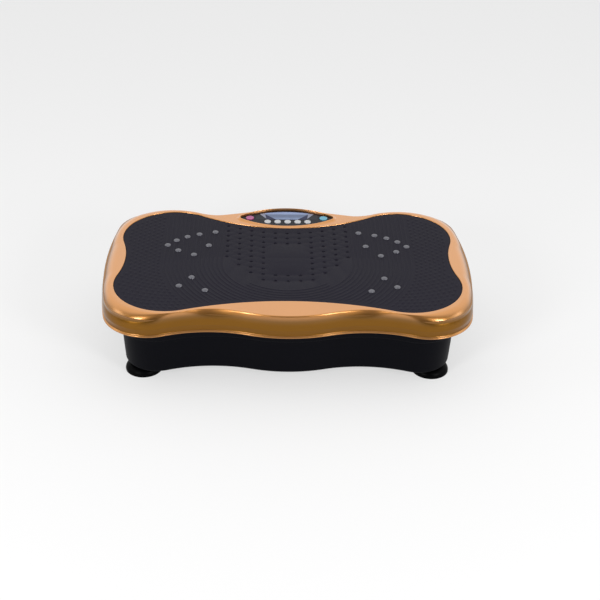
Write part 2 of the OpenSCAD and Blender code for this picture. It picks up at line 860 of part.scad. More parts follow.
module top_cover() {
    color("#cfa27c")
        difference() {
            union() {
                difference() {
                    union() {
                        loft([for (s = cover_section()) ring(cover_outline(s[0]), s[1])]);
                        console_ring();
                    }
                    loft([for (s = cavity_section()) ring(cover_outline(s[0]), s[1])]);
                }
                prism(mat_outline(-cover_t), tray_z, ceiling_z + cover_t / 2);
                cover_ribs();
                for (p = display_posts)
                    hole(p, 3.5, display_z, ceiling_z + cover_t / 2, $fn = 32);
            }
            prism(mat_outline(0), recess_z, top_z + cut);
            prism(eye_outline(fascia_gap), ledge_z, total_h + cut);
            prism(eye_outline(-ledge_w), ceiling_z - cut, ledge_z + cut);
            for (p = cover_posts) {
                hole(p, screw_r + screw_gap, tray_z - cut, recess_z + cut, $fn = 32);
                hole(p, screw_head[0] + screw_gap, recess_z - screw_head[1], recess_z + cut, $fn = 32);
            }
            for (p = display_posts)
                hole(p, small_screw_r + screw_gap, display_z - cut, ceiling_z, $fn = 32);
        }
}

// Front limit of the grip holes in a column, a round field about the middle
function grip_front(n) = grip_front_y + pow(n / grip_columns, 2) * grip_front_rise;

function grip_holes() = [
    for (n = [-grip_columns:grip_columns], k = [-grip_rows:grip_rows])
        let (x = n * grip_pitch_x, y = k * grip_pitch_y + grip_bend * n * n)
        if (y > grip_front(n) && y < mat_rear_y(x) - grip_margin)
            if (abs(n) > grip_bare[0] || abs(k) > grip_bare[1])
                [x, y]
];

module foot_mat() {
    color("#3a3640")
        difference() {
            prism(mat_outline(mat_gap), recess_z, mat_z);
            for (p = grip_holes())
                hole(p, grip_d / 2, mat_z - grip_depth, mat_z + cut);
            for (p = stud_posts, s = [-1, 1])
                hole([s * p.x, p.y], stem_d / 2 + seat_gap, mat_z - stem_l - seat_gap, mat_z + cut);
        }
}

module massage_stud(p) {
    r = stud_d / 2;
    dome_r = (r * r + stud_h * stud_h) / (2 * stud_h);
    hole(p, stem_d / 2, mat_z - stem_l, mat_z + stud_h / 2);
    intersection() {
        translate([p.x, p.y, mat_z + stud_h - dome_r])
            sphere(r = dome_r);
        hole(p, r, mat_z, mat_z + stud_h);
    }
}

module massage_studs() {
    color("#b9bcc2")
        for (p = stud_posts, s = [-1, 1])
            massage_stud([s * p.x, p.y]);
}

// Plate that hangs from the frame to a round eye
module hanging_lug(x, z, top_w, eye_r, bore_r, y0, y1) {
    along_y(y0, y1)
        difference() {
            union() {
                polygon([
                    [x - top_w / 2, frame_z], [x + top_w / 2, frame_z],
                    [x + eye_r * 0.9, z], [x - eye_r * 0.9, z]
                ]);
                translate([x, z])
                    circle(r = eye_r);
            }
            translate([x, z])
                circle(r = bore_r);
        }
}

module pivot_lugs(y) {
    inner = pedestal_t / 2 + lug_gap;
    for (s = [-inner - lug_t, inner])
        hanging_lug(0, pivot_z, lug_top_w, pivot_r + lug_wall, pivot_r + seat_gap, y + s, y + s + lug_t);
}

module platform_frame() {
    color("#8a8f96") {
        difference() {
            prism(
                rounded_rectangle([-frame_w / 2, -frame_front], [frame_w / 2, frame_rear], frame_corner_r),
                frame_z, tray_z
            );
            for (p = cover_posts)
                hole(p, screw_r + screw_gap, frame_z - cut, tray_z + cut);
        }
        pivot_lugs(-front_pivot_y);
        pivot_lugs(rear_pivot_y);
        for (y = [-ear_y - ear_t, ear_y])
            hanging_lug(
                crank_x, pivot_z, ear_top_w, drive_pin_r + ear_wall, drive_pin_r + seat_gap, y, y + ear_t
            );
    }
}

ear_y = rod_t / 2 + rod_gap;
pin_half_l = pedestal_t / 2 + lug_gap + lug_t + clip_t + 2;
groove_y = pedestal_t / 2 + lug_gap + lug_t;

module pivot_pin(y) {
    difference() {
        disc_y(0, pivot_z, pivot_r, y - pin_half_l, y + pin_half_l);
        for (s = [-1, 1])
            difference() {
                low = s > 0 ? y + groove_y : y - groove_y - clip_t;
                disc_y(0, pivot_z, pivot_r + cut, low, low + clip_t);
                disc_y(0, pivot_z, pivot_r - groove_depth, low - cut, low + clip_t + cut);
            }
    }
}

module pivot_pins() {
    color("#c8ccd2") {
        pivot_pin(-front_pivot_y);
        pivot_pin(rear_pivot_y);
    }
}

module pin_clip(y) {
    along_y(y, y + clip_t)
        translate([0, pivot_z])
            difference() {
                circle(r = pivot_r + clip_rise);
                circle(r = pivot_r - groove_depth + seat_gap);
                translate([-pivot_r * 0.6, -2 * pivot_r])
                    square([pivot_r * 1.2, 2 * pivot_r]);
            }
}

module pin_clips() {
    color("#55585e")
        for (y = [-front_pivot_y, rear_pivot_y]) {
            pin_clip(y + groove_y);
            pin_clip(y - groove_y - clip_t);
        }
}

module drive_pin() {
    color("#c8ccd2") {
        disc_y(crank_x, pivot_z, drive_pin_r, -ear_y - ear_t, ear_y + ear_t);
        disc_y(crank_x, pivot_z, drive_pin_r + 2, ear_y + ear_t, ear_y + ear_t + 2);
    }
}

module cover_screws() {
    color("#6d7076")
        for (p = cover_posts)
            screw(p, recess_z - screw_head[1], screw_r, recess_z - screw_head[1] - frame_z, screw_head);
}

// Console

module window_shape(grow) {
    intersection() {
        polygon(eye_outline(grow - window_margin));
        translate([-window_l / 2 - grow, fascia_y + window_front_y - grow])
            square([window_l + 2 * grow, fascia_d]);
    }
}

module panel_fascia() {
    color("#26262c")
        translate([0, 0, ledge_z])
            linear_extrude(fascia_t)
                difference() {
                    polygon(eye_outline(0));
                    window_shape(window_gap);
                    for (p = concat(button_posts, [left_button_post, right_button_post]))
                        translate(p)
                            circle(r = button_d / 2 + button_gap);
                }
}

module display_window() {
    color("#6f7d96")
        translate([0, 0, ledge_z])
            linear_extrude(fascia_t)
                window_shape(0);
}

module display_module() {
    color("#2d4a3a")
        translate([-module_l / 2, fascia_y + window_front_y + 0.5, display_z])
            cube([module_l, module_d, ledge_z - display_z - 0.3]);
}

module display_board() {
    color("#1f5a36")
        difference() {
            union() {
                translate([-display_board_l / 2, fascia_y - display_board_d / 2, display_z - board_t])
                    cube([display_board_l, display_board_d, board_t]);
                translate([-header.x / 2, fascia_y - header.y / 2, display_z - board_t - header.z])
                    cube([header.x, header.y, header.z]);
            }
            for (p = display_posts)
                hole(p, small_screw_r + screw_gap, display_z - board_t - cut, display_z + cut);
        }
}

button_flange_z = ledge_z - button_lift - button_flange;
tact_z = button_flange_z - 0.5 - button_travel - tact_gap;

module tact_switch(p) {
    translate([p.x - tact_w / 2, p.y - tact_w / 2, display_z])
        cube([tact_w, tact_w, tact_z - display_z - 0.6]);
    hole(p, tact_w * 0.28, display_z, tact_z);
}

module tact_switches() {
    color("#3a3a3e")
        for (p = concat(button_posts, [left_button_post, right_button_post]))
            tact_switch(p);
}

module display_screws() {
    color("#6d7076")
        for (p = display_posts)
            screw_up(p, display_z - board_t, small_screw_r, board_t + display_space - tip_gap, small_head);
}

// Button cap with a flange under the fascia and a short stem over its switch
module button(p, shade) {
    r = button_d / 2;
    color(shade)
        translate([p.x, p.y, 0])
            rotate_extrude()
                polygon([
                    [0, button_flange_z - 0.5], [1.6, button_flange_z - 0.5], [1.6, button_flange_z],
                    [r + 1, button_flange_z], [r + 1, button_flange_z + button_flange],
                    [r, button_flange_z + button_flange], [r, fascia_z + button_rise * 0.4],
                    [r - 0.5, fascia_z + button_rise * 0.9], [r - 1.2, fascia_z + button_rise],
                    [0, fascia_z + button_rise]
                ]);
}

module button_1() button(button_posts[0], "#f2f2f2");
module button_2() button(button_posts[1], "#f2f2f2");
module button_3() button(button_posts[2], "#f2f2f2");
module button_4() button(button_posts[3], "#f2f2f2");
module button_5() button(button_posts[4], "#f2f2f2");
module left_button() button(left_button_post, "#e0459a");
module right_button() button(right_button_post, "#35b6dd");

// Base

inlet_hole = [inlet_body_w + 0.4, inlet_body_h + 0.4];
pocket = [inlet_w, inlet_h] + [4, 4];
pocket_back = [pocket.x + 2 * base_wall, inlet_z + pocket.y / 2 + base_wall - floor_z];

module foot_boss(p) {
    hull() {
        hole(p, foot_boss_r[0], floor_z - floor_t / 3, floor_z, $fn = 32);
        hole(p, foot_boss_r[1], floor_z - floor_t / 3, floor_z + foot_boss_h, $fn = 32);
    }
}

// Rib up the inside of the base's wall
module wall_rib(from, to) {
    hull() {
        hole(from, rib_t / 2, floor_z - floor_t / 3, floor_z + 8, $fn = 16);
        hole(to, rib_t / 2, floor_z - floor_t / 3, shoulder_z - 8, $fn = 16);
    }
}

module wall_ribs() {
    reach = base_w / 2 - base_draft - base_wall;
    for (s = [-1, 1], y = [-30, 30])
        wall_rib([s * (reach - 8), y], [s * (reach + 1), y]);
}

module base_shell() {
    color("#222226")
        difference() {
            union() {
                difference() {
                    loft([for (s = base_section(0)) ring(base_outline(s[0]), s[1])]);
                    loft(concat(
                        [ring(base_outline(draft(floor_z) + base_wall), floor_z)],
                        [
                            for (s = base_section(base_wall))
                                if (s[1] > floor_z + cut)
                                    ring(base_outline(s[0]), s[1] == base_top_z ? s[1] + cut : s[1])
                        ]
                    ));
                }
                for (p = foot_posts)
                    foot_boss(p);
                wall_ribs();
                intersection() {
                    translate([-pocket_back.x / 2, pocket_y - base_wall, floor_z - floor_t / 2])
                        cube([pocket_back.x, base_d / 2, pocket_back.y]);
                    loft([for (s = base_section(0.5)) ring(base_outline(s[0]), s[1])]);
                }
            }
            translate([-pocket.x / 2, pocket_y, inlet_z - pocket.y / 2])
                cube([pocket.x, base_d, pocket.y]);
            translate([-inlet_hole.x / 2, 0, inlet_z - inlet_hole.y / 2])
                cube([inlet_hole.x, base_d, inlet_hole.y]);
            for (p = foot_posts)
                hole(
                    p, foot_screw_r + screw_gap, foot_h - cut,
                    floor_z + foot_boss_h - foot_tip_gap / 2, $fn = 32
                );
            for (p = chassis_posts)
                hole(p, screw_r + screw_gap, foot_h + tip_gap / 2, floor_z + cut, $fn = 32);
        }
}

module chassis_plate() {
    bolts = concat(
        [for (y = [-front_pivot_y, rear_pivot_y], s = [-1, 1]) [s * pedestal_bolt_x, y]],
        [for (y = [-block_mid_y, block_mid_y], s = [-1, 1]) [crank_x + s * block_bolt_x, y]],
        [for (x = [-1, 1], y = [-1, 1]) [motor_x + x * cradle_bolts[0], motor_mid_y + y * cradle_bolts[1]]]
    );
    color("#9a9ea5")
        difference() {
            prism(
                rounded_rectangle([-chassis_w / 2, -chassis_d / 2], [chassis_w / 2, chassis_d / 2], 16),
                floor_z, chassis_z
            );
            for (p = bolts)
                hole(p, bolt_r + screw_gap, floor_z - cut, chassis_z + cut);
            for (p = chassis_posts)
                hole(p, screw_r + screw_gap, floor_z - cut, chassis_z + cut);
        }
}

block_mid_y = block_y + block_t / 2;

// Upright that carries a round head on the drive's or the pivot's axis
module upright(x, z, head_r, bore_r, foot_w, foot_t, y0, y1) {
    along_y(y0, y1)
        difference() {
            union() {
                polygon([
                    [x - foot_w * 0.27, chassis_z], [x + foot_w * 0.27, chassis_z],
                    [x + head_r * 0.85, z], [x - head_r * 0.85, z]
                ]);
                translate([x - foot_w / 2, chassis_z])
                    square([foot_w, foot_t]);
                translate([x, z])
                    circle(r = head_r);
            }
            translate([x, z])
                circle(r = bore_r);
        }
}

module pedestal(y) {
    color("#4a4d52")
        difference() {
            union() {
                upright(
                    0, pivot_z, pedestal_r, pivot_r + running_gap + bush_t + seat_gap,
                    pedestal_foot.x, pedestal_foot.z, y - pedestal_t / 2, y + pedestal_t / 2
                );
                translate([-pedestal_foot.x / 2, y - pedestal_foot.y / 2, chassis_z])
                    cube(pedestal_foot);
            }
            for (s = [-1, 1])
                hole(
                    [s * pedestal_bolt_x, y], bolt_r + screw_gap,
                    chassis_z - cut, chassis_z + pedestal_foot.z + cut
                );
        }
}

module front_pedestal() pedestal(-front_pivot_y);
module rear_pedestal() pedestal(rear_pivot_y);

module pivot_bushes() {
    color("#b08d4f")
        for (y = [-front_pivot_y, rear_pivot_y])
            difference() {
                disc_y(0, pivot_z, pivot_r + running_gap + bush_t, y - pedestal_t / 2, y + pedestal_t / 2);
                disc_y(0, pivot_z, pivot_r + running_gap, y - pedestal_t, y + pedestal_t);
            }
}

module bearing_block(y) {
    color("#4a4d52")
        difference() {
            upright(
                crank_x, drive_z, crank_bearing_r + block_wall, crank_bearing_r + seat_gap,
                block_foot[0], block_foot[1], y - block_t / 2, y + block_t / 2
            );
            for (s = [-1, 1])
                hole(
                    [crank_x + s * block_bolt_x, y], bolt_r + screw_gap,
                    chassis_z - cut, chassis_z + block_foot[1] + cut
                );
        }
}

module front_bearing_block() bearing_block(-block_mid_y);
module rear_bearing_block() bearing_block(block_mid_y);

module crank_bearings() {
    color("#c8ccd2")
        for (y = [-block_mid_y, block_mid_y])
            difference() {
                disc_y(crank_x, drive_z, crank_bearing_r, y - crank_bearing_l / 2, y + crank_bearing_l / 2);
                disc_y(crank_x, drive_z, crank_r + running_gap, y - crank_bearing_l, y + crank_bearing_l);
            }
}

// Drive

module crankshaft() {
    half = rod_t / 2 + rod_gap / 2;
    color("#aeb3ba") {
        disc_y(crank_x, drive_z, crank_r, -block_y - block_t - 3, belt_y + pulley_w / 2 + 2);
        disc_y(crank_x + throw, drive_z, eccentric_r, -half, half);
        disc_y(crank_x, drive_z, crank_r + collar_step, half, block_y - collar_gap);
        disc_y(crank_x, drive_z, crank_r + collar_step, collar_gap - block_y, -half);
    }
}

// Belt pulley: a flat seat between two flanges, on a plain bore
module pulley(x, z, seat_r, bore_r) {
    low = belt_y - pulley_w / 2;
    difference() {
        union() {
            disc_y(x, z, seat_r, low, low + pulley_w);
            disc_y(x, z, seat_r + flange_rise, low, low + flange_t);
            disc_y(x, z, seat_r + flange_rise, low + pulley_w - flange_t, low + pulley_w);
        }
        disc_y(x, z, bore_r, low - cut, low + pulley_w + cut);
    }
}

module driven_pulley() {
    color("#5d6168")
        pulley(crank_x, drive_z, big_pulley_r, crank_r + seat_gap);
}

module connecting_rod() {
    x = crank_x + throw;
    neck = 11;
    color("#777c84")
        along_y(-rod_t / 2, rod_t / 2)
            difference() {
                union() {
                    translate([x, drive_z])
                        circle(r = rod_bore_r + rod_wall);
                    translate([x, pivot_z])
                        circle(r = small_eye_r + rod_wall);
                    translate([x - neck, drive_z])
                        square([2 * neck, pivot_z - drive_z]);
                }
                translate([x, drive_z])
                    circle(r = rod_bore_r);
                translate([x, pivot_z])
                    circle(r = small_eye_r);
            }
}

module rod_bearing() {
    color("#b08d4f")
        difference() {
            disc_y(crank_x + throw, drive_z, rod_bore_r - seat_gap, -rod_t / 2, rod_t / 2);
            disc_y(crank_x + throw, drive_z, eccentric_r + running_gap, -rod_t, rod_t);
        }
}

module motor_can() {
    color("#3f4247")
        difference() {
            disc_y(motor_x, motor_z, motor_r, motor_y[0], motor_y[1]);
            disc_y(motor_x, motor_z, motor_r - can_t, motor_y[0] - cut, motor_y[1] + cut);
        }
}

module motor_magnets() {
    low = motor_y[0] + 12;
    high = motor_y[1] - 12;
    color("#2b2b2e")
        difference() {
            disc_y(motor_x, motor_z, motor_r - can_t - seat_gap, low, high);
            disc_y(motor_x, motor_z, armature_r + magnet_gap, low - cut, high + cut);
            translate([motor_x - motor_r, low - cut, motor_z - 6])
                cube([2 * motor_r, high - low + 2 * cut, 12]);
        }
}

module motor_end_bells() {
    color("#8f949b")
        for (y = [motor_y[0] - bell_t, motor_y[1]])
            difference() {
                disc_y(motor_x, motor_z, motor_r, y, y + bell_t);
                disc_y(motor_x, motor_z, motor_shaft_r + running_gap, y - cut, y + bell_t + cut);
            }
}

module motor_cradle() {
    arm_top = motor_r + cradle_t - arm_drop;
    arm_x = strap_ear_x;
    color("#4a4d52")
        difference() {
            union() {
                along_y(motor_mid_y - strap_w / 2 - 4, motor_mid_y + strap_w / 2 + 4)
                    translate([motor_x, chassis_z])
                        polygon([
                            [-26, 0], [26, 0], [arm_x, arm_top - 9], [arm_x, arm_top],
                            [-arm_x, arm_top], [-arm_x, arm_top - 9]
                        ]);
                translate([motor_x - cradle_foot[0] / 2, motor_mid_y - cradle_l / 2, chassis_z])
                    cube([cradle_foot[0], cradle_l, cradle_foot[1]]);
            }
            disc_y(motor_x, motor_z, motor_r + seat_gap, motor_y[0], motor_y[1]);
            for (x = [-1, 1], y = [-1, 1])
                hole(
                    [motor_x + x * cradle_bolts[0], motor_mid_y + y * cradle_bolts[1]],
                    bolt_r + screw_gap, chassis_z - cut, chassis_z + cradle_foot[1] + cut
                );
            for (s = [-1, 1])
                hole(
                    [motor_x + s * strap_screw_x, motor_mid_y], screw_r + screw_gap,
                    chassis_z + arm_top - 8, chassis_z + arm_top + cut
                );
        }
}

module motor_strap() {
    low = -arm_drop;
    color("#9a9ea5")
        difference() {
            along_y(motor_mid_y - strap_w / 2, motor_mid_y + strap_w / 2)
                translate([motor_x, motor_z])
                    difference() {
                        union() {
                            intersection() {
                                circle(r = motor_r + strap_t);
                                translate([-2 * motor_r, low])
                                    square([4 * motor_r, 2 * motor_r]);
                            }
                            translate([-strap_ear_x, low])
                                square([2 * strap_ear_x, strap_ear[1]]);
                        }
                        circle(r = motor_r + seat_gap);
                    }
            for (s = [-1, 1])
                hole(
                    [motor_x + s * strap_screw_x, motor_mid_y], screw_r + screw_gap,
                    motor_z - 2 * arm_drop, motor_z
                );
        }
}

module motor_rotor() {
    color("#aeb3ba") {
        disc_y(motor_x, motor_z, motor_shaft_r, motor_y[0] - bell_t - 2, belt_y + pulley_w / 2 + 2);
        disc_y(motor_x, motor_z, armature_r, motor_y[0] + 10, motor_y[1] - 10);
    }
}

module motor_pulley() {
    color("#5d6168")
        pulley(motor_x, motor_z, small_pulley_r, motor_shaft_r + seat_gap);
}

// Loop round both pulleys, grown from their belt seats
module belt_loop(grow) {
    polygon(loop_outline([crank_x, drive_z], big_pulley_r + grow, [motor_x, motor_z], small_pulley_r + grow));
}

module drive_belt() {
    color("#1b1b1d")
        along_y(belt_y - belt_w / 2, belt_y + belt_w / 2)
            difference() {
                belt_loop(belt_gap + belt_t);
                belt_loop(belt_gap);
            }
}

// Control board

standoff_posts = [
    for (x = [-1, 1], y = [-1, 1])
        [-board_x + x * (board_l / 2 - standoff_inset), y * (board_d / 2 - standoff_inset)]
];

module control_board() {
    color("#1f5a36")
        difference() {
            translate([-board_x - board_l / 2, -board_d / 2, board_z])
                cube([board_l, board_d, board_t]);
            for (p = standoff_posts)
                hole(p, screw_r - 0.5 + screw_gap, board_z - cut, board_z + board_t + cut);
        }
}

// Stand-off with a peg through the board and a rolled head over it
module board_standoffs() {
    color("#c9b37a")
        for (p = standoff_posts) {
            hole(p, standoff_r, chassis_z, board_z);
            hole(p, screw_r - 0.5, board_z - cut, board_z + board_t + cut);
            hole(p, standoff_r - 0.5, board_z + board_t, board_z + board_t + 1.5);
        }
}

module capacitors() {
    color("#31405e")
        for (x = [-1, 1])
            hole(
                [-board_x - board_l / 4 + x * (capacitor_r + 1), -board_d / 4],
                capacitor_r, board_z + board_t, board_z + board_t + capacitor_h
            );
}

module heat_sink() {
    fins = 6;
    translate([-board_x + board_l / 2 - sink_side - sink_l, -board_d / 2 + sink_front, board_z + board_t])
        color("#a9adb3") {
            cube([sink_l, sink_d, sink_web]);
            for (i = [0:fins - 1])
                translate([i * (sink_l - sink_fin) / (fins - 1), 0, 0])
                    cube([sink_fin, sink_d, sink_h]);
        }
}

module transformer() {
    translate([-board_x + board_l / 4, core_y, board_z + board_t])
        color("#8c6d3a") {
            translate([-core_l / 2, -core_d / 2, 0])
                cube([core_l, core_d, core_h]);
            translate([-coil_l / 2, -coil_d / 2, (core_h - coil_h) / 2])
                cube([coil_l, coil_d, coil_h]);
        }
}

module terminal_blocks() {
    color("#2e7d4f")
        for (p = terminal_posts)
            translate([p.x - terminal_w / 2, p.y - terminal_d / 2, board_z + board_t])
                cube([terminal_w, terminal_d, terminal_h]);
}

// Power inlet

module inlet_box(x, z, w, h, front, depth) {
    translate([x - w / 2, front - depth, z - h / 2])
        cube([w, depth, h]);
}

inlet_face = pocket_y + inlet_t;
rocker_half = (rocker_h + rocker_gap[1]) / 2;
rocker_well_w = rocker_w + 2 * rocker_gap[0];

module power_inlet() {
    color("#17171a")
        difference() {
            union() {
                inlet_box(0, inlet_z, inlet_w, inlet_h, inlet_face, inlet_t);
                inlet_box(0, inlet_z, inlet_body_w, inlet_body_h, pocket_y, inlet_body);
            }
            inlet_box(socket_x, socket_z, socket_w, socket_h, inlet_face + cut, socket_depth + cut);
            inlet_box(socket_x, fuse_z, socket_w, fuse_h, inlet_face + cut, fuse_l + cut);
            inlet_box(rocker_x, inlet_z, rocker_well_w, 2 * rocker_half, inlet_face + cut, rocker_well + cut);
            translate([rocker_x - rocker_w / 2 - rocker_pin_l, rocker_y, inlet_z])
                rotate([0, 90, 0])
                    cylinder(r = rocker_pin_r + running_gap, h = rocker_w + 2 * rocker_pin_l);
        }
}

module inlet_pins() {
    pin = [2, 4];
    spread = 7;
    color("#c8ccd2")
        for (p = [[-spread, -2], [0, 2], [spread, -2]])
            inlet_box(
                socket_x + p.x, socket_z + p.y, pin[0], pin[1],
                inlet_face - socket_depth + socket_pin_l, socket_pin_l
            );
}

module fuse_drawer() {
    slack = 0.1;
    color("#2a2a2e") {
        inlet_box(socket_x, fuse_z, socket_w - 2 * slack, fuse_h - 2 * slack, inlet_face + 0.8, fuse_l + 0.8);
    }
}

// Rocker with two flat faces, drawn in its off position on its own axle stubs
module rocker_switch() {
    half = rocker_h / 2;
    front = 4;
    stub = rocker_pin_l + rocker_w / 2 - 0.2;
    translate([rocker_x, rocker_y, inlet_z])
        rotate([-rocker_swing / 2, 0, 0])
            color("#b3261e") {
                translate([-rocker_w / 2, 0, 0])
                    rotate([90, 0, 90])
                        linear_extrude(rocker_w)
                            polygon([
                                [-rocker_depth, -half], [front, -half], [front - 1.2, 0],
                                [front, half], [-rocker_depth, half]
                            ]);
                translate([-stub, 0, 0])
                    rotate([0, 90, 0])
                        cylinder(r = rocker_pin_r, h = 2 * stub);
            }
}

// Feet and fasteners

// Suction cup: a flat ring, a dome, a neck and a collar, with a seat for its screw inside
module foot(p) {
    inner = foot_r - foot_ring;
    hole_r = foot_screw_r + screw_gap;
    head_r = foot_head[0] + foot_head_gap;
    dome_h = foot_h - collar_h - neck_h - foot_lip - 1.3;
    dome = [
        for (i = [0:6])
            let (a = 15 * i)
            [foot_neck_r + (foot_r - foot_neck_r) * cos(a), foot_lip + dome_h * sin(a)]
    ];
    color("#2a2a2c")
        translate([p.x, p.y, 0])
            rotate_extrude()
                polygon(concat(
                    [[inner, 0], [foot_r, 0]],
                    dome,
                    [
                        [foot_neck_r, foot_h - collar_h - neck_h], [collar_r, foot_h - collar_h],
                        [collar_r, foot_h], [hole_r, foot_h], [hole_r, foot_seat], [head_r, foot_seat],
                        [head_r, foot_seat - foot_head[1] - foot_head_gap], [inner - foot_cup[0], foot_cup[1]]
                    ]
                ));
}

module front_left_foot() foot([-foot_x, -foot_y]);
module front_right_foot() foot([foot_x, -foot_y]);
module rear_left_foot() foot([-foot_x, foot_y]);
module rear_right_foot() foot([foot_x, foot_y]);

module foot_screws() {
    color("#6d7076")
        for (p = foot_posts)
            screw_up(p, foot_seat, foot_screw_r, floor_z + foot_boss_h - foot_tip_gap - foot_seat, foot_head);
}

module drive_bolts() {
    color("#6d7076") {
        for (p = chassis_posts)
            screw(p, chassis_z, screw_r, chassis_t + floor_t - tip_gap, screw_head);
        for (y = [-front_pivot_y, rear_pivot_y], s = [-1, 1])
            hex_bolt(
                [s * pedestal_bolt_x, y], chassis_z + pedestal_foot.z, bolt_r,
                pedestal_foot.z + chassis_t, bolt_head
            );
        for (y = [-block_mid_y, block_mid_y], s = [-1, 1])
            hex_bolt(
                [crank_x + s * block_bolt_x, y], chassis_z + block_foot[1], bolt_r,
                block_foot[1] + chassis_t, bolt_head
            );
        for (x = [-1, 1], y = [-1, 1])
            hex_bolt(
                [motor_x + x * cradle_bolts[0], motor_mid_y + y * cradle_bolts[1]],
                chassis_z + cradle_foot[1], bolt_r, cradle_foot[1] + chassis_t, bolt_head
            );
        for (s = [-1, 1])
            screw(
                [motor_x + s * strap_screw_x, motor_mid_y], motor_z - arm_drop + strap_ear[1],
                screw_r, strap_ear[1] + 7, [screw_head[0] - 0.4, screw_head[1]]
            );
    }
}

// Leads

module display_lead() {
    color("#d8d8d4")
        lead(display_route, lead_r);
}

module mains_lead() {
    color("#202022")
        lead(mains_route, lead_r);
}

module motor_lead() {
    color("#8f2f2a")
        lead(motor_route, lead_r);
}

top_cover();
foot_mat();
massage_studs();
platform_frame();
pivot_pins();
pin_clips();
drive_pin();
cover_screws();
panel_fascia();
display_window();
display_module();
display_board();
tact_switches();
display_screws();
button_1();
button_2();
button_3();
button_4();
button_5();
left_button();
right_button();
base_shell();
chassis_plate();
front_pedestal();
rear_pedestal();
pivot_bushes();
front_bearing_block();
rear_bearing_block();
crank_bearings();
crankshaft();
driven_pulley();
connecting_rod();
rod_bearing();
motor_can();
motor_magnets();
motor_end_bells();
motor_cradle();
motor_strap();
motor_rotor();
motor_pulley();
drive_belt();
control_board();
board_standoffs();
capacitors();
heat_sink();
transformer();
terminal_blocks();
power_inlet();
inlet_pins();
fuse_drawer();
rocker_switch();
front_left_foot();
front_right_foot();
rear_left_foot();
rear_right_foot();
foot_screws();
drive_bolts();
display_lead();
mains_lead();
motor_lead();
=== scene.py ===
"""Outer pieces, finishes and stage of a vibration plate.

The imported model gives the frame. A gold cover, ridged mat, studs, control panel, base and feet are worked out here as
surfaces on grids, and the pieces inside keep their solids and get finishes of their own.
"""

import json
import math

import bmesh
import bpy
import numpy as np
from bpy.props import FloatProperty, FloatVectorProperty, IntProperty, PointerProperty
from mathutils import Matrix, Vector
from mathutils.geometry import delaunay_2d_cdt


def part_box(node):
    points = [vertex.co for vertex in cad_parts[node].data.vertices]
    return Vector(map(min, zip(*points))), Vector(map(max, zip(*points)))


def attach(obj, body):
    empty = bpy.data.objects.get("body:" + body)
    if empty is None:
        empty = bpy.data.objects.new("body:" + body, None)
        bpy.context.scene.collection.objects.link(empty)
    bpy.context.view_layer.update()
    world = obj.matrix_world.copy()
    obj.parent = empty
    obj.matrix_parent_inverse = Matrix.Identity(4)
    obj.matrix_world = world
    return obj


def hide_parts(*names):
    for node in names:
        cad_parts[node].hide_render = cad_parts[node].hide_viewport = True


bl_info = {
    "name": "Vibration Plate",
    "version": (1, 0, 0),
    "blender": (4, 5, 0),
    "location": "View3D > Sidebar > Vibration Plate",
    "description": "Builds the outer pieces and finishes of a rocking exercise platform",
    "category": "Object",
}

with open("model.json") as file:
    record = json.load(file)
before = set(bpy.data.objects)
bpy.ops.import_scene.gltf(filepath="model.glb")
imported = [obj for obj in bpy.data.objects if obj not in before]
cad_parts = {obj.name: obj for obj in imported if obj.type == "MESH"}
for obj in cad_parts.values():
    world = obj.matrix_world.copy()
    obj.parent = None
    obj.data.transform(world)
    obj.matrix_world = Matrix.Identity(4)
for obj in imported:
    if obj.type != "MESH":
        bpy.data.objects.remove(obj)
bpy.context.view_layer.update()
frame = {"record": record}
MM = 0.001
FULL_TURN = 2 * math.pi
SLOT_OF = {row["node"]: row["material_slot"] for row in frame["record"]["subparts"]}


def low(node, axis):
    """Lowest coordinate of a node at rest."""
    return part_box(node)[0][axis]


def high(node, axis):
    """Highest coordinate of a node at rest."""
    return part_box(node)[1][axis]


def span(node, axis):
    """Size of a node along an axis."""
    return high(node, axis) - low(node, axis)


def centre(node):
    """Middle of a node's box seen from above."""
    (x0, y0, _), (x1, y1, _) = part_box(node)
    return np.array([(x0 + x1) / 2, (y0 + y1) / 2])


PLATE_W = span("top_cover", 0)
PLATE_D = span("top_cover", 1)
RIM_Z = low("top_cover", 2)
CREST_Z = high("top_cover", 2)
BASE_FLARE = 6.5 * MM
BASE_W = span("base_shell", 0) - 2 * BASE_FLARE
BASE_D = span("base_shell", 1) - 2 * BASE_FLARE
BASE_TOP_Z = high("base_shell", 2)
BASE_LOW_Z = low("base_shell", 2)
MAT_LOW_Z = low("foot_mat", 2)
MAT_Z = high("foot_mat", 2)
TOP_Z = MAT_Z + 0.5 * MM
FASCIA_Z = high("panel_fascia", 2)
LEDGE_Z = low("panel_fascia", 2)
FASCIA_L = span("panel_fascia", 0)
FASCIA_D = span("panel_fascia", 1)
FASCIA_AT = centre("panel_fascia")
TRAY_Z = TOP_Z - 7 * MM


# Sizes and colours

def length(name, millimetres, about):
    """A length setting, given in millimetres."""
    return FloatProperty(name=name, description=about, default=millimetres * MM, unit="LENGTH", precision=4)


def angle(name, degrees, about):
    """An angle setting, given in degrees."""
    return FloatProperty(name=name, description=about, default=math.radians(degrees), subtype="ANGLE")


def colour(name, value, about):
    """A linear colour setting."""
    return FloatVectorProperty(name=name, description=about, default=value, subtype="COLOR", min=0.0, max=1.0)


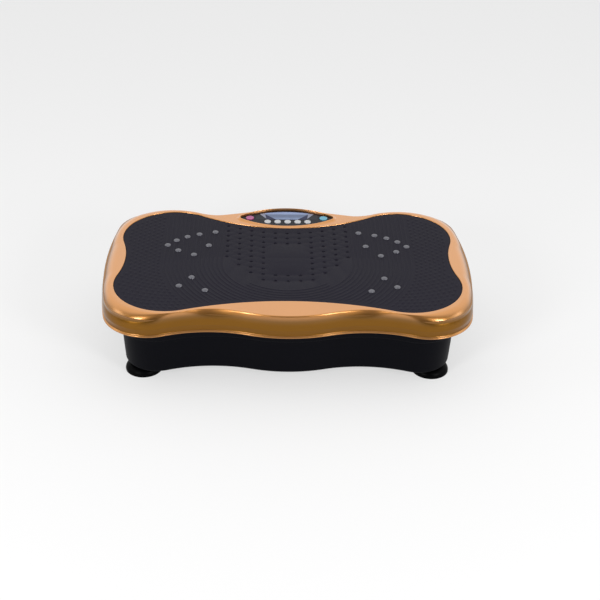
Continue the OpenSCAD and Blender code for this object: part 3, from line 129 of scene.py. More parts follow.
class CoverSettings(bpy.types.PropertyGroup):
    """Sizes of the gold cover."""
    corner_r: length("Corner radius", 64, "Radius of the cover's round corners")
    side_r: length("Side radius", 600, "Radius of the cover's slightly curved ends")
    bulge_r: length("Bulge radius", 200, "Radius of the bulge in the middle of the long sides")
    waist: length("Waist", 15, "Depth of the dips beside the bulge")
    wall: length("Wall", 3, "Thickness of the skirt")
    lip_h: length("Lip height", 2.6, "Height of the lip along the lower edge")
    neck: length("Neck", 2.0, "Depth of the groove over the lip")
    belly_h: length("Belly height", 10.6, "Height of the widest line of the skirt over the lower edge")
    bulge_bevel: length("Bevel at the bulge", 3.0, "How far the skirt leans in under the crease at the bulge")
    dip_bevel: length("Bevel at the dips", 5, "How far the skirt leans in under the crease at the dips")
    corner_bevel: length("Bevel at the corners", 17.5, "How far the round shoulder comes in at the corners")
    ring_reach: length("Ring reach", 6, "Width of the ring round the control panel at its foot")
    front_rise: length("Ring rise in front", 1.0, "Height of the panel's ring at the front")


class MatSettings(bpy.types.PropertyGroup):
    """Sizes of the foot mat and its studs."""
    lobe_x: length("Lobe place", 165, "Distance of the four round lobes from the middle, along the length")
    lobe_y: length("Lobe depth place", 66.5, "Distance of the four round lobes from the middle, front to rear")
    lobe_r: length("Lobe radius", 73.5, "Radius of the four round lobes")
    pinch: length("Pinch", 9.5, "Depth of the dip in each end of the mat")
    rear_dip: length("Rear dip", 48, "Depth of the dip in front of the control panel")
    front_dip: length("Front dip", 27.5, "Depth of the dip in the front edge")
    hole_r: length("Grip hole radius", 2.3, "Radius of the round grip holes")
    hole_depth: length("Grip hole depth", 1.2, "Depth of the round grip holes")
    hole_pitch_x: length("Hole pitch", 17.2, "Distance between columns of grip holes")
    hole_pitch_y: length("Hole pitch in depth", 15.1, "Distance between grip holes in a column")
    ridge_pitch: length("Ridge pitch", 6.2, "Distance between the curved ridges")
    ridge_w: length("Ridge width", 3.4, "Width of a curved ridge")
    ridge_h: length("Ridge height", 0.45, "Height of a curved ridge, less than the mat lies under the rim")
    first_ridge: length("First ridge", 81, "Radius of the innermost curved ridge")
    ridges: IntProperty(name="Ridges", description="Number of curved ridges", default=16, min=1)
    stud_r: length("Stud radius", 4.5, "Radius of a stud")
    stud_h: length("Stud height", 2, "Height of a stud over the mat")


class PanelSettings(bpy.types.PropertyGroup):
    """Sizes of the control panel."""
    tip_r: length("Tip radius", 5, "Radius of the pointed ends of the panel")
    window_l: length("Window length", 94, "Length of the display window")
    window_front: length("Window front", -4, "Front edge of the window from the middle of the panel")
    window_rim: length("Window rim", 3.5, "Width of the dark band behind the window")
    button_r: length("Button radius", 4.9, "Radius of a round button")
    side_button_r: length("Side button radius", 5.9, "Radius of the buttons at the panel's tips")
    button_gap: length("Button gap", 0.3, "Gap round a button")


class BaseSettings(bpy.types.PropertyGroup):
    """Sizes of the black base and its feet."""
    corner_r: length("Corner radius", 48, "Radius of the base's round corners")
    side_r: length("Side radius", 600, "Radius of the base's slightly curved ends")
    bulge_r: length("Bulge radius", 190, "Radius of the bulge in the middle of the long sides")
    waist: length("Waist", 13.4, "Depth of the dips beside the bulge")
    wall: length("Wall", 3, "Thickness of the wall")
    draft: length("Draft", 3, "How far the wall leans in towards the floor")
    shoulder_z: length("Shoulder", 66, "Height of the shoulder's lower edge")
    shoulder_h: length("Shoulder height", 6, "Height of the rounded shoulder")
    edge_r: length("Edge radius", 3, "Radius of the lower edge")
    pocket_w: length("Pocket width", 66, "Width of the pocket round the power inlet")
    pocket_h: length("Pocket height", 37, "Height of the pocket round the power inlet")
    pocket_y: length("Pocket place", 131, "Place of the pocket's back, from the middle of the base")
    pocket_z: length("Pocket height place", 43.5, "Height of the pocket's middle")
    inlet_step: length("Inlet step", 3, "How far the inlet's flange laps over the opening for its body")
    foot_r: length("Foot radius", 25.5, "Radius of a suction foot at the floor")
    foot_neck_r: length("Foot neck radius", 11.5, "Radius of a suction foot's neck")


class FinishSettings(bpy.types.PropertyGroup):
    """Colours of the finishes that show most."""
    gold: colour("Gold", (0.62, 0.256, 0.05), "Metallic paint of the cover")
    mat: colour("Mat", (0.0112, 0.01, 0.0172), "Charcoal rubber of the mat")
    stud: colour("Studs", (0.128, 0.128, 0.146), "Silver studs")
    base: colour("Base", (0.0028, 0.0029, 0.0044), "Black moulding of the base")
    fascia: colour("Panel", (0.008, 0.008, 0.012), "Glossy overlay of the control panel")
    window: colour("Display", (0.122, 0.154, 0.244), "Blue-grey display")
    white: colour("White buttons", (0.46, 0.47, 0.48), "Round buttons")
    magenta: colour("Left button", (0.34, 0.045, 0.19), "Button at the left tip of the panel")
    cyan: colour("Right button", (0.08, 0.33, 0.46), "Button at the right tip of the panel")


class StageSettings(bpy.types.PropertyGroup):
    """Camera and light."""
    distance: length("Distance", 1768, "Distance of the camera")
    elevation: angle("Elevation", 29.8, "Height of the camera as an angle")
    yaw: angle("Yaw", -1.15, "Turn of the camera about the object")
    roll: angle("Roll", 1.0, "Tilt of the camera")
    lens: FloatProperty(name="Lens", description="Focal length in millimetres", default=75.0)
    aim_z: length("Aim", 117, "Height that the camera looks at")
    floor: colour("Floor", (0.79, 0.79, 0.79), "Pale studio floor")


class PlateSettings(bpy.types.PropertyGroup):
    """All settings of the plate."""
    cover: PointerProperty(type=CoverSettings)
    mat: PointerProperty(type=MatSettings)
    panel: PointerProperty(type=PanelSettings)
    base: PointerProperty(type=BaseSettings)
    finish: PointerProperty(type=FinishSettings)
    stage: PointerProperty(type=StageSettings)


# Outlines

def arc(middle, radius, start, end, count):
    """Points of a circle's arc from one heading up to, and not at, another."""
    a = np.linspace(start, end, count, endpoint=False)
    return np.column_stack((middle[0] + radius * np.cos(a), middle[1] + radius * np.sin(a)))


def heading(p, q):
    """Angle of the line from one point to another."""
    return math.atan2(q[1] - p[1], q[0] - p[0])


def four_quarters(rear, front):
    """A closed outline from its rear right quarter and its front one, each mirrored to the other quarters."""
    flip = np.array([-1.0, 1.0])
    return np.vstack((rear[:-1], (rear * flip)[:0:-1], -front[:-1], (front * -flip)[:0:-1]))


def wave_outline(w, d, shape, inset):
    """Rectangle with arcs for its ends, corners, dips and bulges, each tangent to the next.

    The end's arc is centred on the X axis and the bulge's on the Y axis; the dip's arc touches corner and bulge from
    outside. An inset shrinks the round arcs and widens the hollow one about the same centres.
    """
    corner, side, bulge, dip = shape.corner_r, shape.side_r, shape.bulge_r, shape.waist
    s = (w / 2 - side, 0)
    c_y = d / 2 - corner
    c = (s[0] + math.sqrt((side - corner) ** 2 - c_y ** 2), c_y)
    dip_x = (c[0] ** 2 + 2 * dip * (bulge - corner)) / (2 * c[0])
    dip_r = (dip_x ** 2 + dip ** 2) / (2 * dip) - bulge
    v = (dip_x, d / 2 - dip + dip_r)
    b = (0, d / 2 - bulge)
    quarter = np.vstack((
        arc(s, side - inset, 0, heading(s, c), 20),
        arc(c, corner - inset, heading(s, c), heading(c, v), 36),
        arc(v, dip_r + inset, heading(v, c), heading(v, b), 30),
        arc(b, bulge - inset, heading(b, v), math.pi / 2, 24),
        [(0, d / 2 - inset)],
    ))
    return four_quarters(quarter, quarter)


def mat_quarter(m, dip, inset):
    """A quarter of the mat: half the hollow at its end, a round lobe, and half the hollow in its long edge."""
    lobe = (m.lobe_x, m.lobe_y)
    reach = m.lobe_r - m.pinch
    end_r = (reach ** 2 + m.lobe_y ** 2 - m.lobe_r ** 2) / (2 * m.pinch)
    end = (m.lobe_x + reach + end_r, 0)
    rise = m.lobe_r - dip
    edge_r = (m.lobe_x ** 2 + rise ** 2 - m.lobe_r ** 2) / (2 * dip)
    edge = (0, m.lobe_y + rise + edge_r)
    return np.vstack((
        arc(end, end_r + inset, math.pi, heading(end, lobe), 14),
        arc(lobe, m.lobe_r - inset, heading(lobe, end), heading(lobe, edge), 44),
        arc(edge, edge_r + inset, heading(edge, lobe), -math.pi / 2, 34),
        [(0, edge[1] - edge_r - inset)],
    ))


def mat_outline(m, inset):
    """The mat's four lobes, with a deeper hollow at the rear, where the control panel is."""
    return four_quarters(mat_quarter(m, m.rear_dip, inset), mat_quarter(m, m.front_dip, inset))


def eye_outline(p, inset):
    """Two long arcs that meet in small round tips, the shape of the control panel."""
    tip = FASCIA_L / 2 - p.tip_r
    rise = FASCIA_D / 2 - p.tip_r
    drop = (tip ** 2 - rise ** 2) / (2 * rise)
    turn = math.atan2(drop, tip)
    half = np.vstack((
        arc((tip, 0), p.tip_r - inset, 0, turn, 14),
        arc((0, -drop), drop + FASCIA_D / 2 - inset, turn, math.pi / 2, 34),
        [(0, FASCIA_D / 2 - inset)],
    ))
    return four_quarters(half, half) + FASCIA_AT


def with_normals(outline, *sizes):
    """An outline's points and their unit steps inwards, because each point moves straight in with the inset."""
    points = outline(*sizes, 0.0)
    return points, outline(*sizes, 1.0) - points


def circle(middle, radius, count):
    """A closed ring of points."""
    return arc(middle, radius, 0, FULL_TURN, count)


def smooth(t):
    """Soft step from 0 to 1."""
    t = np.clip(t, 0, 1)
    return t * t * (3 - 2 * t)


# Patches: a patch is an array of points with an array of faces

def ring(outline, z):
    """An outline lifted to one height, or to a height for each point."""
    return np.column_stack((outline, np.broadcast_to(z, len(outline))))


def rings(points, inward, steps):
    """Rows of an outline at steps of an inset in millimetres and a height."""
    return [ring(points + inward * inset * MM, z) for inset, z in steps]


def grid_faces(rows, columns, closed):
    """Faces of a grid numbered row by row, with its last column joined to its first if it is closed."""
    i, j = np.meshgrid(np.arange(rows - 1), np.arange(columns if closed else columns - 1), indexing="ij")
    k = (j + 1) % columns
    faces = np.stack((i * columns + j, i * columns + k, (i + 1) * columns + k, (i + 1) * columns + j), axis=-1)
    return faces.reshape(-1, 4)


def loft(rows, closed=True):
    """A surface through rows of points that lie one over the next."""
    rows = np.asarray(rows)
    return rows.reshape(-1, 3), grid_faces(rows.shape[0], rows.shape[1], closed)


def inside(points, loop):
    """Even-odd test: a point is inside a loop when a line from it along X crosses the loop an odd number of times."""
    a, b = loop, np.roll(loop, -1, axis=0)
    x, y = points[:, :1], points[:, 1:]
    spans = (a[:, 1] > y) != (b[:, 1] > y)
    rise = np.where(b[:, 1] == a[:, 1], 1.0, b[:, 1] - a[:, 1])
    cross = a[:, 0] + (y - a[:, 1]) / rise * (b[:, 0] - a[:, 0])
    return (spans & (x < cross)).sum(axis=1) % 2 == 1


def flat(outer, z, holes=()):
    """Triangles of a level plane between an outer loop and the loops of its holes."""
    loops = [loop[:, :2] for loop in (outer, *holes)]
    starts = np.cumsum([0] + [len(loop) for loop in loops])
    edges = [
        np.column_stack((np.arange(len(loop)), np.roll(np.arange(len(loop)), -1))) + start
        for start, loop in zip(starts, loops)
    ]
    made = delaunay_2d_cdt(np.vstack(loops).tolist(), np.vstack(edges).tolist(), [], 0, 1e-9)
    points = np.array([tuple(v) for v in made[0]])
    faces = np.array(made[2])
    middles = points[faces].mean(axis=1)
    keep = inside(middles, loops[0])
    if holes:
        keep &= ~np.any([inside(middles, hole) for hole in loops[1:]], axis=0)
    return ring(points, z), faces[keep]


def revolve(profile, centres, count):
    """A profile of radius and height turned about a vertical line through each centre."""
    profile, centres = np.asarray(profile), np.atleast_2d(centres)
    a = np.linspace(0, FULL_TURN, count, endpoint=False)
    r, z = profile[:, 0, None], profile[:, 1, None]
    one = np.stack((r * np.cos(a), r * np.sin(a), np.broadcast_to(z, (len(profile), count))), axis=-1).reshape(-1, 3)
    middle = np.column_stack((centres, np.zeros(len(centres))))
    points = (one[None] + middle[:, None]).reshape(-1, 3)
    faces = grid_faces(len(profile), count, True)
    steps = np.arange(len(centres))[:, None, None] * len(one)
    return points, (faces[None] + steps).reshape(-1, 4)


def corner_arc(middle, radius, start, end, steps):
    """Profile points of a rounded corner, both ends included, with headings in degrees."""
    a = np.radians(np.linspace(start, end, steps))
    return np.column_stack((middle[0] + radius * np.cos(a), middle[1] + radius * np.sin(a)))


def bead(paths, profile):
    """A low closed rib along each path; the profile gives points across and over, and ends taper to nothing."""
    patches = []
    for path in paths:
        step = np.gradient(path, axis=0)
        step /= np.linalg.norm(step, axis=1, keepdims=True)
        across = np.column_stack((-step[:, 1], step[:, 0]))
        n = len(path)
        ends = np.minimum(np.arange(n), np.arange(n)[::-1])
        taper = np.sqrt(np.clip(ends / 2, 0.02, 1))
        flat_points = path[:, None] + across[:, None] * (profile[:, 0] * taper[:, None])[..., None]
        heights = profile[:, 1] * taper[:, None]
        rows = np.concatenate((flat_points, heights[..., None]), axis=-1)
        rows[:, :, 2] += MAT_Z
        caps = np.array([np.arange(len(profile)), np.arange(len(profile)) + (n - 1) * len(profile)])
        points, faces = loft(rows)
        patches += [(points, faces), (points, caps)]
    return patches


# Making a piece

def make_piece(name, patches, body, node, sharp=32):
    """Joins patches into one closed mesh, gives it its body and the finish of the node that it stands for, and hides
    that node.
    """
    points = np.vstack([p for p, _ in patches])
    starts = np.cumsum([0] + [len(p) for p, _ in patches])
    faces = [row for (_, f), start in zip(patches, starts) for row in (np.asarray(f) + start).tolist()]
    mesh = bpy.data.meshes.new(name)
    mesh.from_pydata(points.tolist(), [], faces)
    work = bmesh.new()
    work.from_mesh(mesh)
    bmesh.ops.remove_doubles(work, verts=work.verts, dist=2e-6)
    bmesh.ops.dissolve_degenerate(work, dist=1e-7, edges=work.edges)
    bmesh.ops.recalc_face_normals(work, faces=work.faces)
    work.to_mesh(mesh)
    work.free()
    mesh.shade_smooth()
    mesh.set_sharp_from_angle(angle=math.radians(sharp))
    mesh.materials.append(finish_of(SLOT_OF[node]))
    piece = bpy.data.objects.new(name, mesh)
    bpy.context.scene.collection.objects.link(piece)
    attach(piece, body)
    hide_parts(node)


# Finishes

def operation(kind, swapped=False):
    """A method that adds a Math node of one kind, if need be with its two values swapped."""
    def method(self, other=0.0):
        pair = (other, self) if swapped else (self, other)
        return self.finish.node("ShaderNodeMath", {"operation": kind}, dict(enumerate(pair)))
    return method


class Value:
    """A shader socket in a sum: an operator between values or numbers adds a Math node."""

    def __init__(self, finish, socket):
        self.finish = finish
        self.socket = socket

    __add__ = __radd__ = operation("ADD")
    __mul__ = __rmul__ = operation("MULTIPLY")
    __sub__, __rsub__ = operation("SUBTRACT"), operation("SUBTRACT", True)
    __truediv__ = operation("DIVIDE")
    size, sine = operation("ABSOLUTE"), operation("SINE")

    def step(self, start, end):
        """Soft step from 0 at one value to 1 at another."""
        return self.finish.node(
            "ShaderNodeMapRange", {"interpolation_type": "SMOOTHSTEP"},
            {"Value": self, "From Min": start, "From Max": end},
        )


class Finish:
    """A procedural material: a Principled shader and the nodes that feed it."""

    def __init__(self, name, constants):
        self.material = bpy.data.materials.new(f"{name}_finish")
        self.material.use_nodes = True
        self.tree = self.material.node_tree
        self.shader = self.tree.nodes["Principled BSDF"]
        self.feed(constants)

    def feed(self, inputs):
        """Sets or links sockets of the shader."""
        for key, value in inputs.items():
            self.join(self.shader.inputs[key], value)

    def join(self, socket, value):
        if isinstance(value, Value):
            self.tree.links.new(value.socket, socket)
        else:
            socket.default_value = value

    def node(self, kind, settings=None, inputs=None, output=0):
        """A node of a type with its settings set first, then the values or links of its sockets."""
        node = self.tree.nodes.new(kind)
        for key, value in (settings or {}).items():
            setattr(node, key, value)
        for key, value in (inputs or {}).items():
            self.join(node.inputs[key], value)
        return Value(self, node.outputs[output])

    def place(self, stretch=(1, 1, 1)):
        """Object coordinates, stretched along the axes."""
        at = self.node("ShaderNodeTexCoord", output="Object")
        return self.node("ShaderNodeMapping", inputs={"Vector": at, "Scale": stretch})

    def xyz(self):
        """The three object coordinates in metres."""
        at = self.node("ShaderNodeTexCoord", output="Object")
        return [self.node("ShaderNodeSeparateXYZ", inputs={0: at}, output=i) for i in range(3)]

    def noise(self, scale, detail, stretch=(1, 1, 1)):
        inputs = {"Vector": self.place(stretch), "Scale": scale, "Detail": detail}
        return self.node("ShaderNodeTexNoise", inputs=inputs)

    def cells(self, scale):
        return self.node("ShaderNodeTexVoronoi", inputs={"Vector": self.place(), "Scale": scale})

    def mix(self, share, first, second):
        """A colour between two colours."""
        return self.node("ShaderNodeMix", {"data_type": "RGBA"}, {0: share, 6: first, 7: second}, 2)

    def shade(self, share, base, dark, light):
        """A colour between a darker and a lighter tone of one colour."""
        return self.mix(share, tone(base, dark), tone(base, light))

    def surface(self, colours, rough, height, depth):
        """Feeds colour and roughness, and a relief whose depth is in millimetres."""
        relief = {"Height": height, "Distance": depth * MM, "Strength": 1.0}
        self.feed({"Base Color": colours, "Roughness": rough, "Normal": self.node("ShaderNodeBump", inputs=relief)})


def tone(value, share):
    """A colour made lighter or darker, with its alpha."""
    return (*(min(1.0, c * share) for c in value), 1.0)


def gold_paint(base):
    """Satin metallic paint with fine flakes, its clear coat thicker on the lip and the top. Its colour holds painted
    shade and painted highlight: a deep dark gold low on the skirt, and paler on the lip and the top.
    """
    f = Finish("gold_paint", {"Metallic": 1.0, "Coat Roughness": 0.22, "Coat IOR": 1.7})
    flakes, cloud = f.noise(2600, 2), f.noise(14, 3)
    share = flakes * 0.6 + cloud * 0.4
    z = f.xyz()[2]
    lip = 1.0 - z.step(RIM_Z + 2.4 * MM, RIM_Z + 3.6 * MM)
    # Painted highlight and shade: the share of the paler tone rises up the skirt and on the lip, so the lower skirt is
    # painted darker.
    pale = z.step(RIM_Z + 24 * MM, TOP_Z - 0.1 * MM) + 0.6 * lip
    # Painted shade: a darker, more saturated copy of the gold for the lower skirt.
    deep = (base[0], base[1], base[2] * 0.2)
    f.feed({"Coat Weight": 0.2 + 0.8 * z.step(RIM_Z + 18 * MM, TOP_Z - 0.5 * MM) + 0.6 * lip})
    # The colour mixes the painted shade tone low on the skirt with the painted paler gold on the top and the lip.
    f.surface(
        f.mix(pale, f.shade(share, deep, 0.31, 0.41), f.shade(share, base, 0.86, 1.12)),
        0.25 + 0.09 * flakes + 0.05 * cloud, f.noise(420, 2) * 0.7 + flakes * 0.3, 0.03,
    )


def moulded(name, base, rough, grain, depth, gloss=0.4):
    """Moulded plastic: spark-eroded grain as cells, with cloudy colour and rubbed patches."""
    f = Finish(name, {"Specular IOR Level": gloss})
    cloud, grit = f.noise(18, 4), f.cells(grain)
    f.surface(
        f.shade(cloud * 0.7 + grit * 0.3, base, 0.82, 1.25), rough - 0.06 + 0.14 * cloud + 0.06 * grit,
        grit * 0.7 + f.noise(grain * 1.7, 2) * 0.3, depth,
    )


def glossy(name, base, rough):
    """Polished plastic: even colour with slight clouding, fine dust in its roughness and a shallow waviness."""
    f = Finish(name, {"Coat Weight": 0.3, "Coat Roughness": 0.08})
    cloud, dust = f.noise(40, 3), f.noise(1500, 2)
    f.surface(
        f.shade(cloud, base, 0.9, 1.08), rough + 0.08 * cloud + 0.06 * dust.step(0.55, 0.75), f.noise(220, 2), 0.02
    )


def rubber(name, base, rough, gloss=0.25):
    """Soft rubber: dull, with a fine grain, and pale bloom in patches."""
    f = Finish(name, {"Specular IOR Level": gloss})
    bloom, grain = f.noise(26, 5).step(0.45, 0.75), f.noise(1300, 3)
    f.surface(
        f.shade(bloom * 0.6 + grain * 0.4, base, 0.85, 1.3), rough - 0.08 + 0.12 * bloom + 0.08 * grain, grain, 0.07
    )


def metal(name, base, rough, stretch):
    """Bare metal: brush lines as a stretched noise, with stains in its colour and roughness."""
    f = Finish(name, {"Metallic": 1.0})
    lines, stain = f.noise(500, 4, stretch), f.noise(35, 4)
    f.surface(
        f.shade(lines * 0.5 + stain * 0.5, base, 0.78, 1.15), rough - 0.05 + 0.14 * lines + 0.1 * stain, lines, 0.04
    )


def casting(base):
    """Coated casting: pebbled skin with worn high spots that show metal."""
    f = Finish("casting", {})
    pebble, wear = f.cells(420), f.noise(60, 5).step(0.6, 0.78)
    f.feed({"Metallic": 0.1 + 0.6 * wear})
    f.surface(
        f.shade(wear, base, 0.9, 2.4), 0.62 - 0.2 * wear + 0.1 * pebble, pebble + f.noise(900, 3) * 0.4, 0.2
    )


def circuit_board(base):
    """Solder mask with tracks as thin steps of two waves, and a scatter of tinned pads."""
    f = Finish("circuit_board", {"Coat Weight": 0.4, "Coat Roughness": 0.15})
    x, y, _ = f.xyz()
    wander = f.noise(90, 2) * 3
    tracks = ((x * 1900 + wander).sine().step(0.72, 0.8) + (y * 1500 + wander).sine().step(0.78, 0.86)).step(0, 1)
    pads = 1 - f.cells(240).step(0.18, 0.22)
    tin = (0.55, 0.53, 0.48, 1)
    f.feed({"Metallic": pads * 0.9})
    f.surface(
        f.mix(pads, f.shade(tracks, base, 0.8, 1.6), tin), 0.34 - 0.1 * pads + 0.1 * f.noise(300, 2),
        tracks * 0.5 + pads, 0.05,
    )


def mat_rubber(base):
    """Moulded mat: fine leathery cells, dusty clouds and slightly polished high spots."""
    f = Finish("mat_rubber", {"Specular IOR Level": 0.1})
    cloud, grain = f.noise(20, 4), f.cells(850)
    f.surface(
        f.shade(cloud * 0.6 + grain * 0.4, base, 0.8, 1.3), 0.5 + 0.1 * cloud + 0.1 * grain,
        grain * 0.8 + f.noise(1700, 2) * 0.2, 0.12,
    )


def stud_silver(base):
    """Silver paint on the studs, rubbed brighter in spots."""
    f = Finish("stud_silver", {"Metallic": 0.75, "Coat Weight": 0.2})
    rub = f.noise(300, 3)
    f.surface(f.shade(rub, base, 0.8, 1.25), 0.3 + 0.15 * rub, f.noise(1800, 2), 0.03)


def fascia_black(base):
    """Glossy overlay: hair scratches in its roughness, and faint clouds."""
    f = Finish("fascia_black", {"Coat Weight": 0.06, "Coat Roughness": 0.06, "Specular IOR Level": 0.08})
    scratch, cloud = f.noise(900, 2, (1, 0.06, 1)).step(0.62, 0.7), f.noise(30, 3)
    f.surface(f.shade(cloud, base, 0.7, 1.6), 0.12 + 0.1 * scratch + 0.05 * cloud, f.noise(120, 2), 0.01)


def display(base):
    """Display under glass: blue with a pale rear edge, then navy and pale slanted wedges, and dark ends."""
    f = Finish("display_glass", {"Coat Weight": 0.06, "Coat Roughness": 0.06, "Specular IOR Level": 0.1})
    navy, pale, dark = (0.016, 0.02, 0.06, 1), (0.24, 0.25, 0.32, 1), (0.012, 0.014, 0.02, 1)
    x, y, _ = f.xyz()
    side = ((x - float(FASCIA_AT[0])) / MM).size()
    up = (y - float(FASCIA_AT[1])) / MM
    grain = f.noise(420, 2) * 0.6 + f.noise(90, 2) * 0.4
    paper = f.mix(up.step(-1, 5), f.shade(grain, base, 0.9, 2.1), f.shade(grain, base, 0.75, 1.3))
    paper = f.mix(up.step(11.5, 13.5), paper, tone(base, 2.1))
    paper = f.mix((side - up).step(19.5, 20.5), paper, navy)
    paper = f.mix((side - up * 0.12).step(30.4, 31.4), paper, pale)
    paper = f.mix((side - up * 0.68).step(31, 32), paper, dark)
    f.surface(paper, 0.18 + 0.1 * f.noise(500, 2), f.noise(180, 2), 0.01)


def make_finishes(s):
    """One finish for each of the record's material slots."""
    coils, drawn, turned = (1, 1, 0.04), (0.05, 1, 1), (1, 0.04, 1)
    gold_paint(s.gold)
    moulded("black_plastic", s.base, 0.42, 700, 0.08, 0.035)
    mat_rubber(s.mat)
    stud_silver(s.stud)
    rubber("foot_rubber", (0.001, 0.001, 0.0013), 0.4, 0.03)
    fascia_black(s.fascia)
    display(s.window)
    glossy("button_white", s.white, 0.3)
    glossy("button_magenta", s.magenta, 0.25)
    glossy("button_cyan", s.cyan, 0.25)
    glossy("rocker_red", (0.3, 0.006, 0.006), 0.2)
    metal("steel", (0.55, 0.56, 0.58), 0.3, drawn)
    metal("dark_steel", (0.22, 0.23, 0.25), 0.38, coils)
    casting((0.05, 0.05, 0.055))
    metal("bronze", (0.55, 0.36, 0.15), 0.35, turned)
    metal("aluminium", (0.66, 0.67, 0.69), 0.32, turned)
    rubber("belt_rubber", (0.012, 0.012, 0.013), 0.7)
    circuit_board((0.02, 0.13, 0.05))
    moulded("component_black", (0.011, 0.011, 0.012), 0.4, 1100, 0.05, 0.15)
    glossy("capacitor_blue", (0.03, 0.05, 0.16), 0.3)
    moulded("terminal_green", (0.03, 0.24, 0.09), 0.45, 1200, 0.03)
    rubber("lead_black", (0.014, 0.014, 0.014), 0.5)
    rubber("lead_white", (0.6, 0.6, 0.58), 0.5)
    rubber("lead_red", (0.3, 0.02, 0.02), 0.5)


def finish_of(slot):
    """The material of a slot, found by its name."""
    return bpy.data.materials[f"{slot}_finish"]


# Shapes of the pieces

def distance_to(points, loop):
    """Distance of each point from the nearest corner of a loop."""
    return np.sqrt(((points[:, None] - loop[None]) ** 2).sum(axis=-1)).min(axis=1)


def skirt_rows(c, points, inward, room):
    """Rows of the cover's outside, from its inner wall round the lower edge and up to the crease.

    The skirt has a lip, a shallow neck and a belly. Over the belly it leans in as the square of the height along the
    bulges and dips, and follows a quarter of an ellipse round the corners, blended by the distance along the length.
    It never comes in further than the room that the mat's recess leaves, and a curve eases it into the level top.
    """
    dip_x, soft_x, soft_span = 118 * MM, 70 * MM, 95 * MM
    lip, neck = c.lip_h, c.neck
    held = neck * 0.38
    x = np.abs(points[:, 0])
    soft = smooth((x - soft_x) / soft_span)
    bevel = np.minimum(c.bulge_bevel + (c.dip_bevel - c.bulge_bevel) * smooth(x / dip_x), room - held)
    shoulder = np.minimum(c.corner_bevel, room - held)
    inner = [(c.wall - a * MM, RIM_Z + z * MM) for a, z in ((0, 2.2), (0.3, 0.9), (0.9, 0.2), (1.5, 0))]
    edge = [(a * MM, RIM_Z + z * MM) for a, z in ((0.7, 0), (0.3, 0.12), (0.06, 0.45), (0, 0.9))]
    groove = [(neck * a, RIM_Z + lip * z) for a, z in (
        (0, 0.5), (0.05, 0.6), (0.2, 0.72), (0.45, 0.86), (0.72, 1), (0.91, 1.14), (1, 1.35), (0.98, 1.65),
        (0.88, 2.1), (0.74, 2.6), (0.58, 3.15), (0.46, 3.65), (0.4, 4.05),
    )]
    rows = [ring(points + inward * inset, z) for inset, z in [(c.wall, TRAY_Z), *inner, *edge, *groove]]
    belly = RIM_Z + c.belly_h
    rise = TOP_Z - belly

    def wall(u):
        """Place of the wall at shares of the way from belly to crease."""
        turn = u * math.pi / 2
        inset = held + bevel * u ** 2 * (1 - soft) + shoulder * (1 - np.cos(turn)) * soft
        return ring(points + inward * inset[:, None], belly + rise * (u * (1 - soft) + np.sin(turn) * soft))

    ease = 0.93 + 0.07 * soft
    rows += [wall(u * ease) for u in np.linspace(0, 1, 20)]
    start, crease = rows[-1], wall(np.ones(len(points)))
    step = np.column_stack((inward, np.zeros(len(inward))))
    level = crease + step * (1.4 * MM + 1.8 * MM * soft)[:, None]
    for t in np.linspace(0, 1, 8)[1:]:
        rows.append((1 - t) ** 2 * start + 2 * t * (1 - t) * crease + t ** 2 * level)
    rows.append(level + step * 0.25 * MM)
    return rows


def cover_patches(c, m, p):
    """The cover: skirt, level top, recess for the mat, and the raised ring round the control panel."""
    points, inward = with_normals(wave_outline, PLATE_W, PLATE_D, c)
    edge, edge_in = with_normals(mat_outline, m)
    skirt = skirt_rows(c, points, inward, distance_to(points, edge) - 5.1 * MM)
    recess = rings(edge, edge_in, (
        (-1.3, TOP_Z), (-1.0, TOP_Z), (-0.6, TOP_Z - 0.06 * MM), (-0.25, TOP_Z - 0.25 * MM), (0, TOP_Z - 0.8 * MM),
        (0, MAT_LOW_Z),
    ))
    eye, eye_in = with_normals(eye_outline, p)
    half = FASCIA_D / 2 + c.ring_reach
    share = (eye[:, 1] - FASCIA_AT[1] + half) / (2 * half)
    climb = c.front_rise + (CREST_Z - TOP_Z - c.front_rise) * smooth(share) * 0.999
    reach = c.ring_reach
    ring_steps = [
        (reach + 0.3 * MM, 0), (reach, 0), (reach * 0.9, 0.03), (reach * 0.76, 0.13), (reach * 0.6, 0.36),
        (reach * 0.47, 0.62), (reach * 0.36, 0.82), (reach * 0.27, 0.94), (reach * 0.19, 0.99), (reach * 0.13, 1),
        (0.55 * MM, 0.96), (0.4 * MM, 0.85),
    ]
    console = [ring(eye - eye_in * out, TOP_Z + climb * up) for out, up in ring_steps]
    ledge = rings(eye, eye_in, ((-0.35, LEDGE_Z + 1 * MM), (-0.35, LEDGE_Z), (1.5, LEDGE_Z), (1.5, TRAY_Z)))
    return [
        loft(skirt), loft(recess), loft(console + ledge),
        flat(skirt[-1], TOP_Z, [recess[0], console[0]]),
        flat(recess[-1], MAT_LOW_Z),
        flat(skirt[0], TRAY_Z, [ledge[-1]]),
    ]


RIDGE_Y = -4 * MM


def grip_holes(m):
    """Places of the grip holes: bowed rows of columns, a round field in front, and bare middle and edges."""
    columns, rows, bow = 5, 6, 0.87 * MM
    n, k = np.meshgrid(np.arange(-columns, columns + 1), np.arange(-rows, rows + 1))
    n, k = n.ravel(), k.ravel()
    x = n * m.hole_pitch_x
    y = k * m.hole_pitch_y + bow * n ** 2
    front = (-74 + (n / columns) ** 2 * 75.2) * MM
    places = np.column_stack((x, y))
    clear = inside(places, mat_outline(m, 7 * MM))
    bare = (np.abs(n) <= 1) & (np.abs(k) <= 2)
    return places[clear & (y > front) & ~bare]


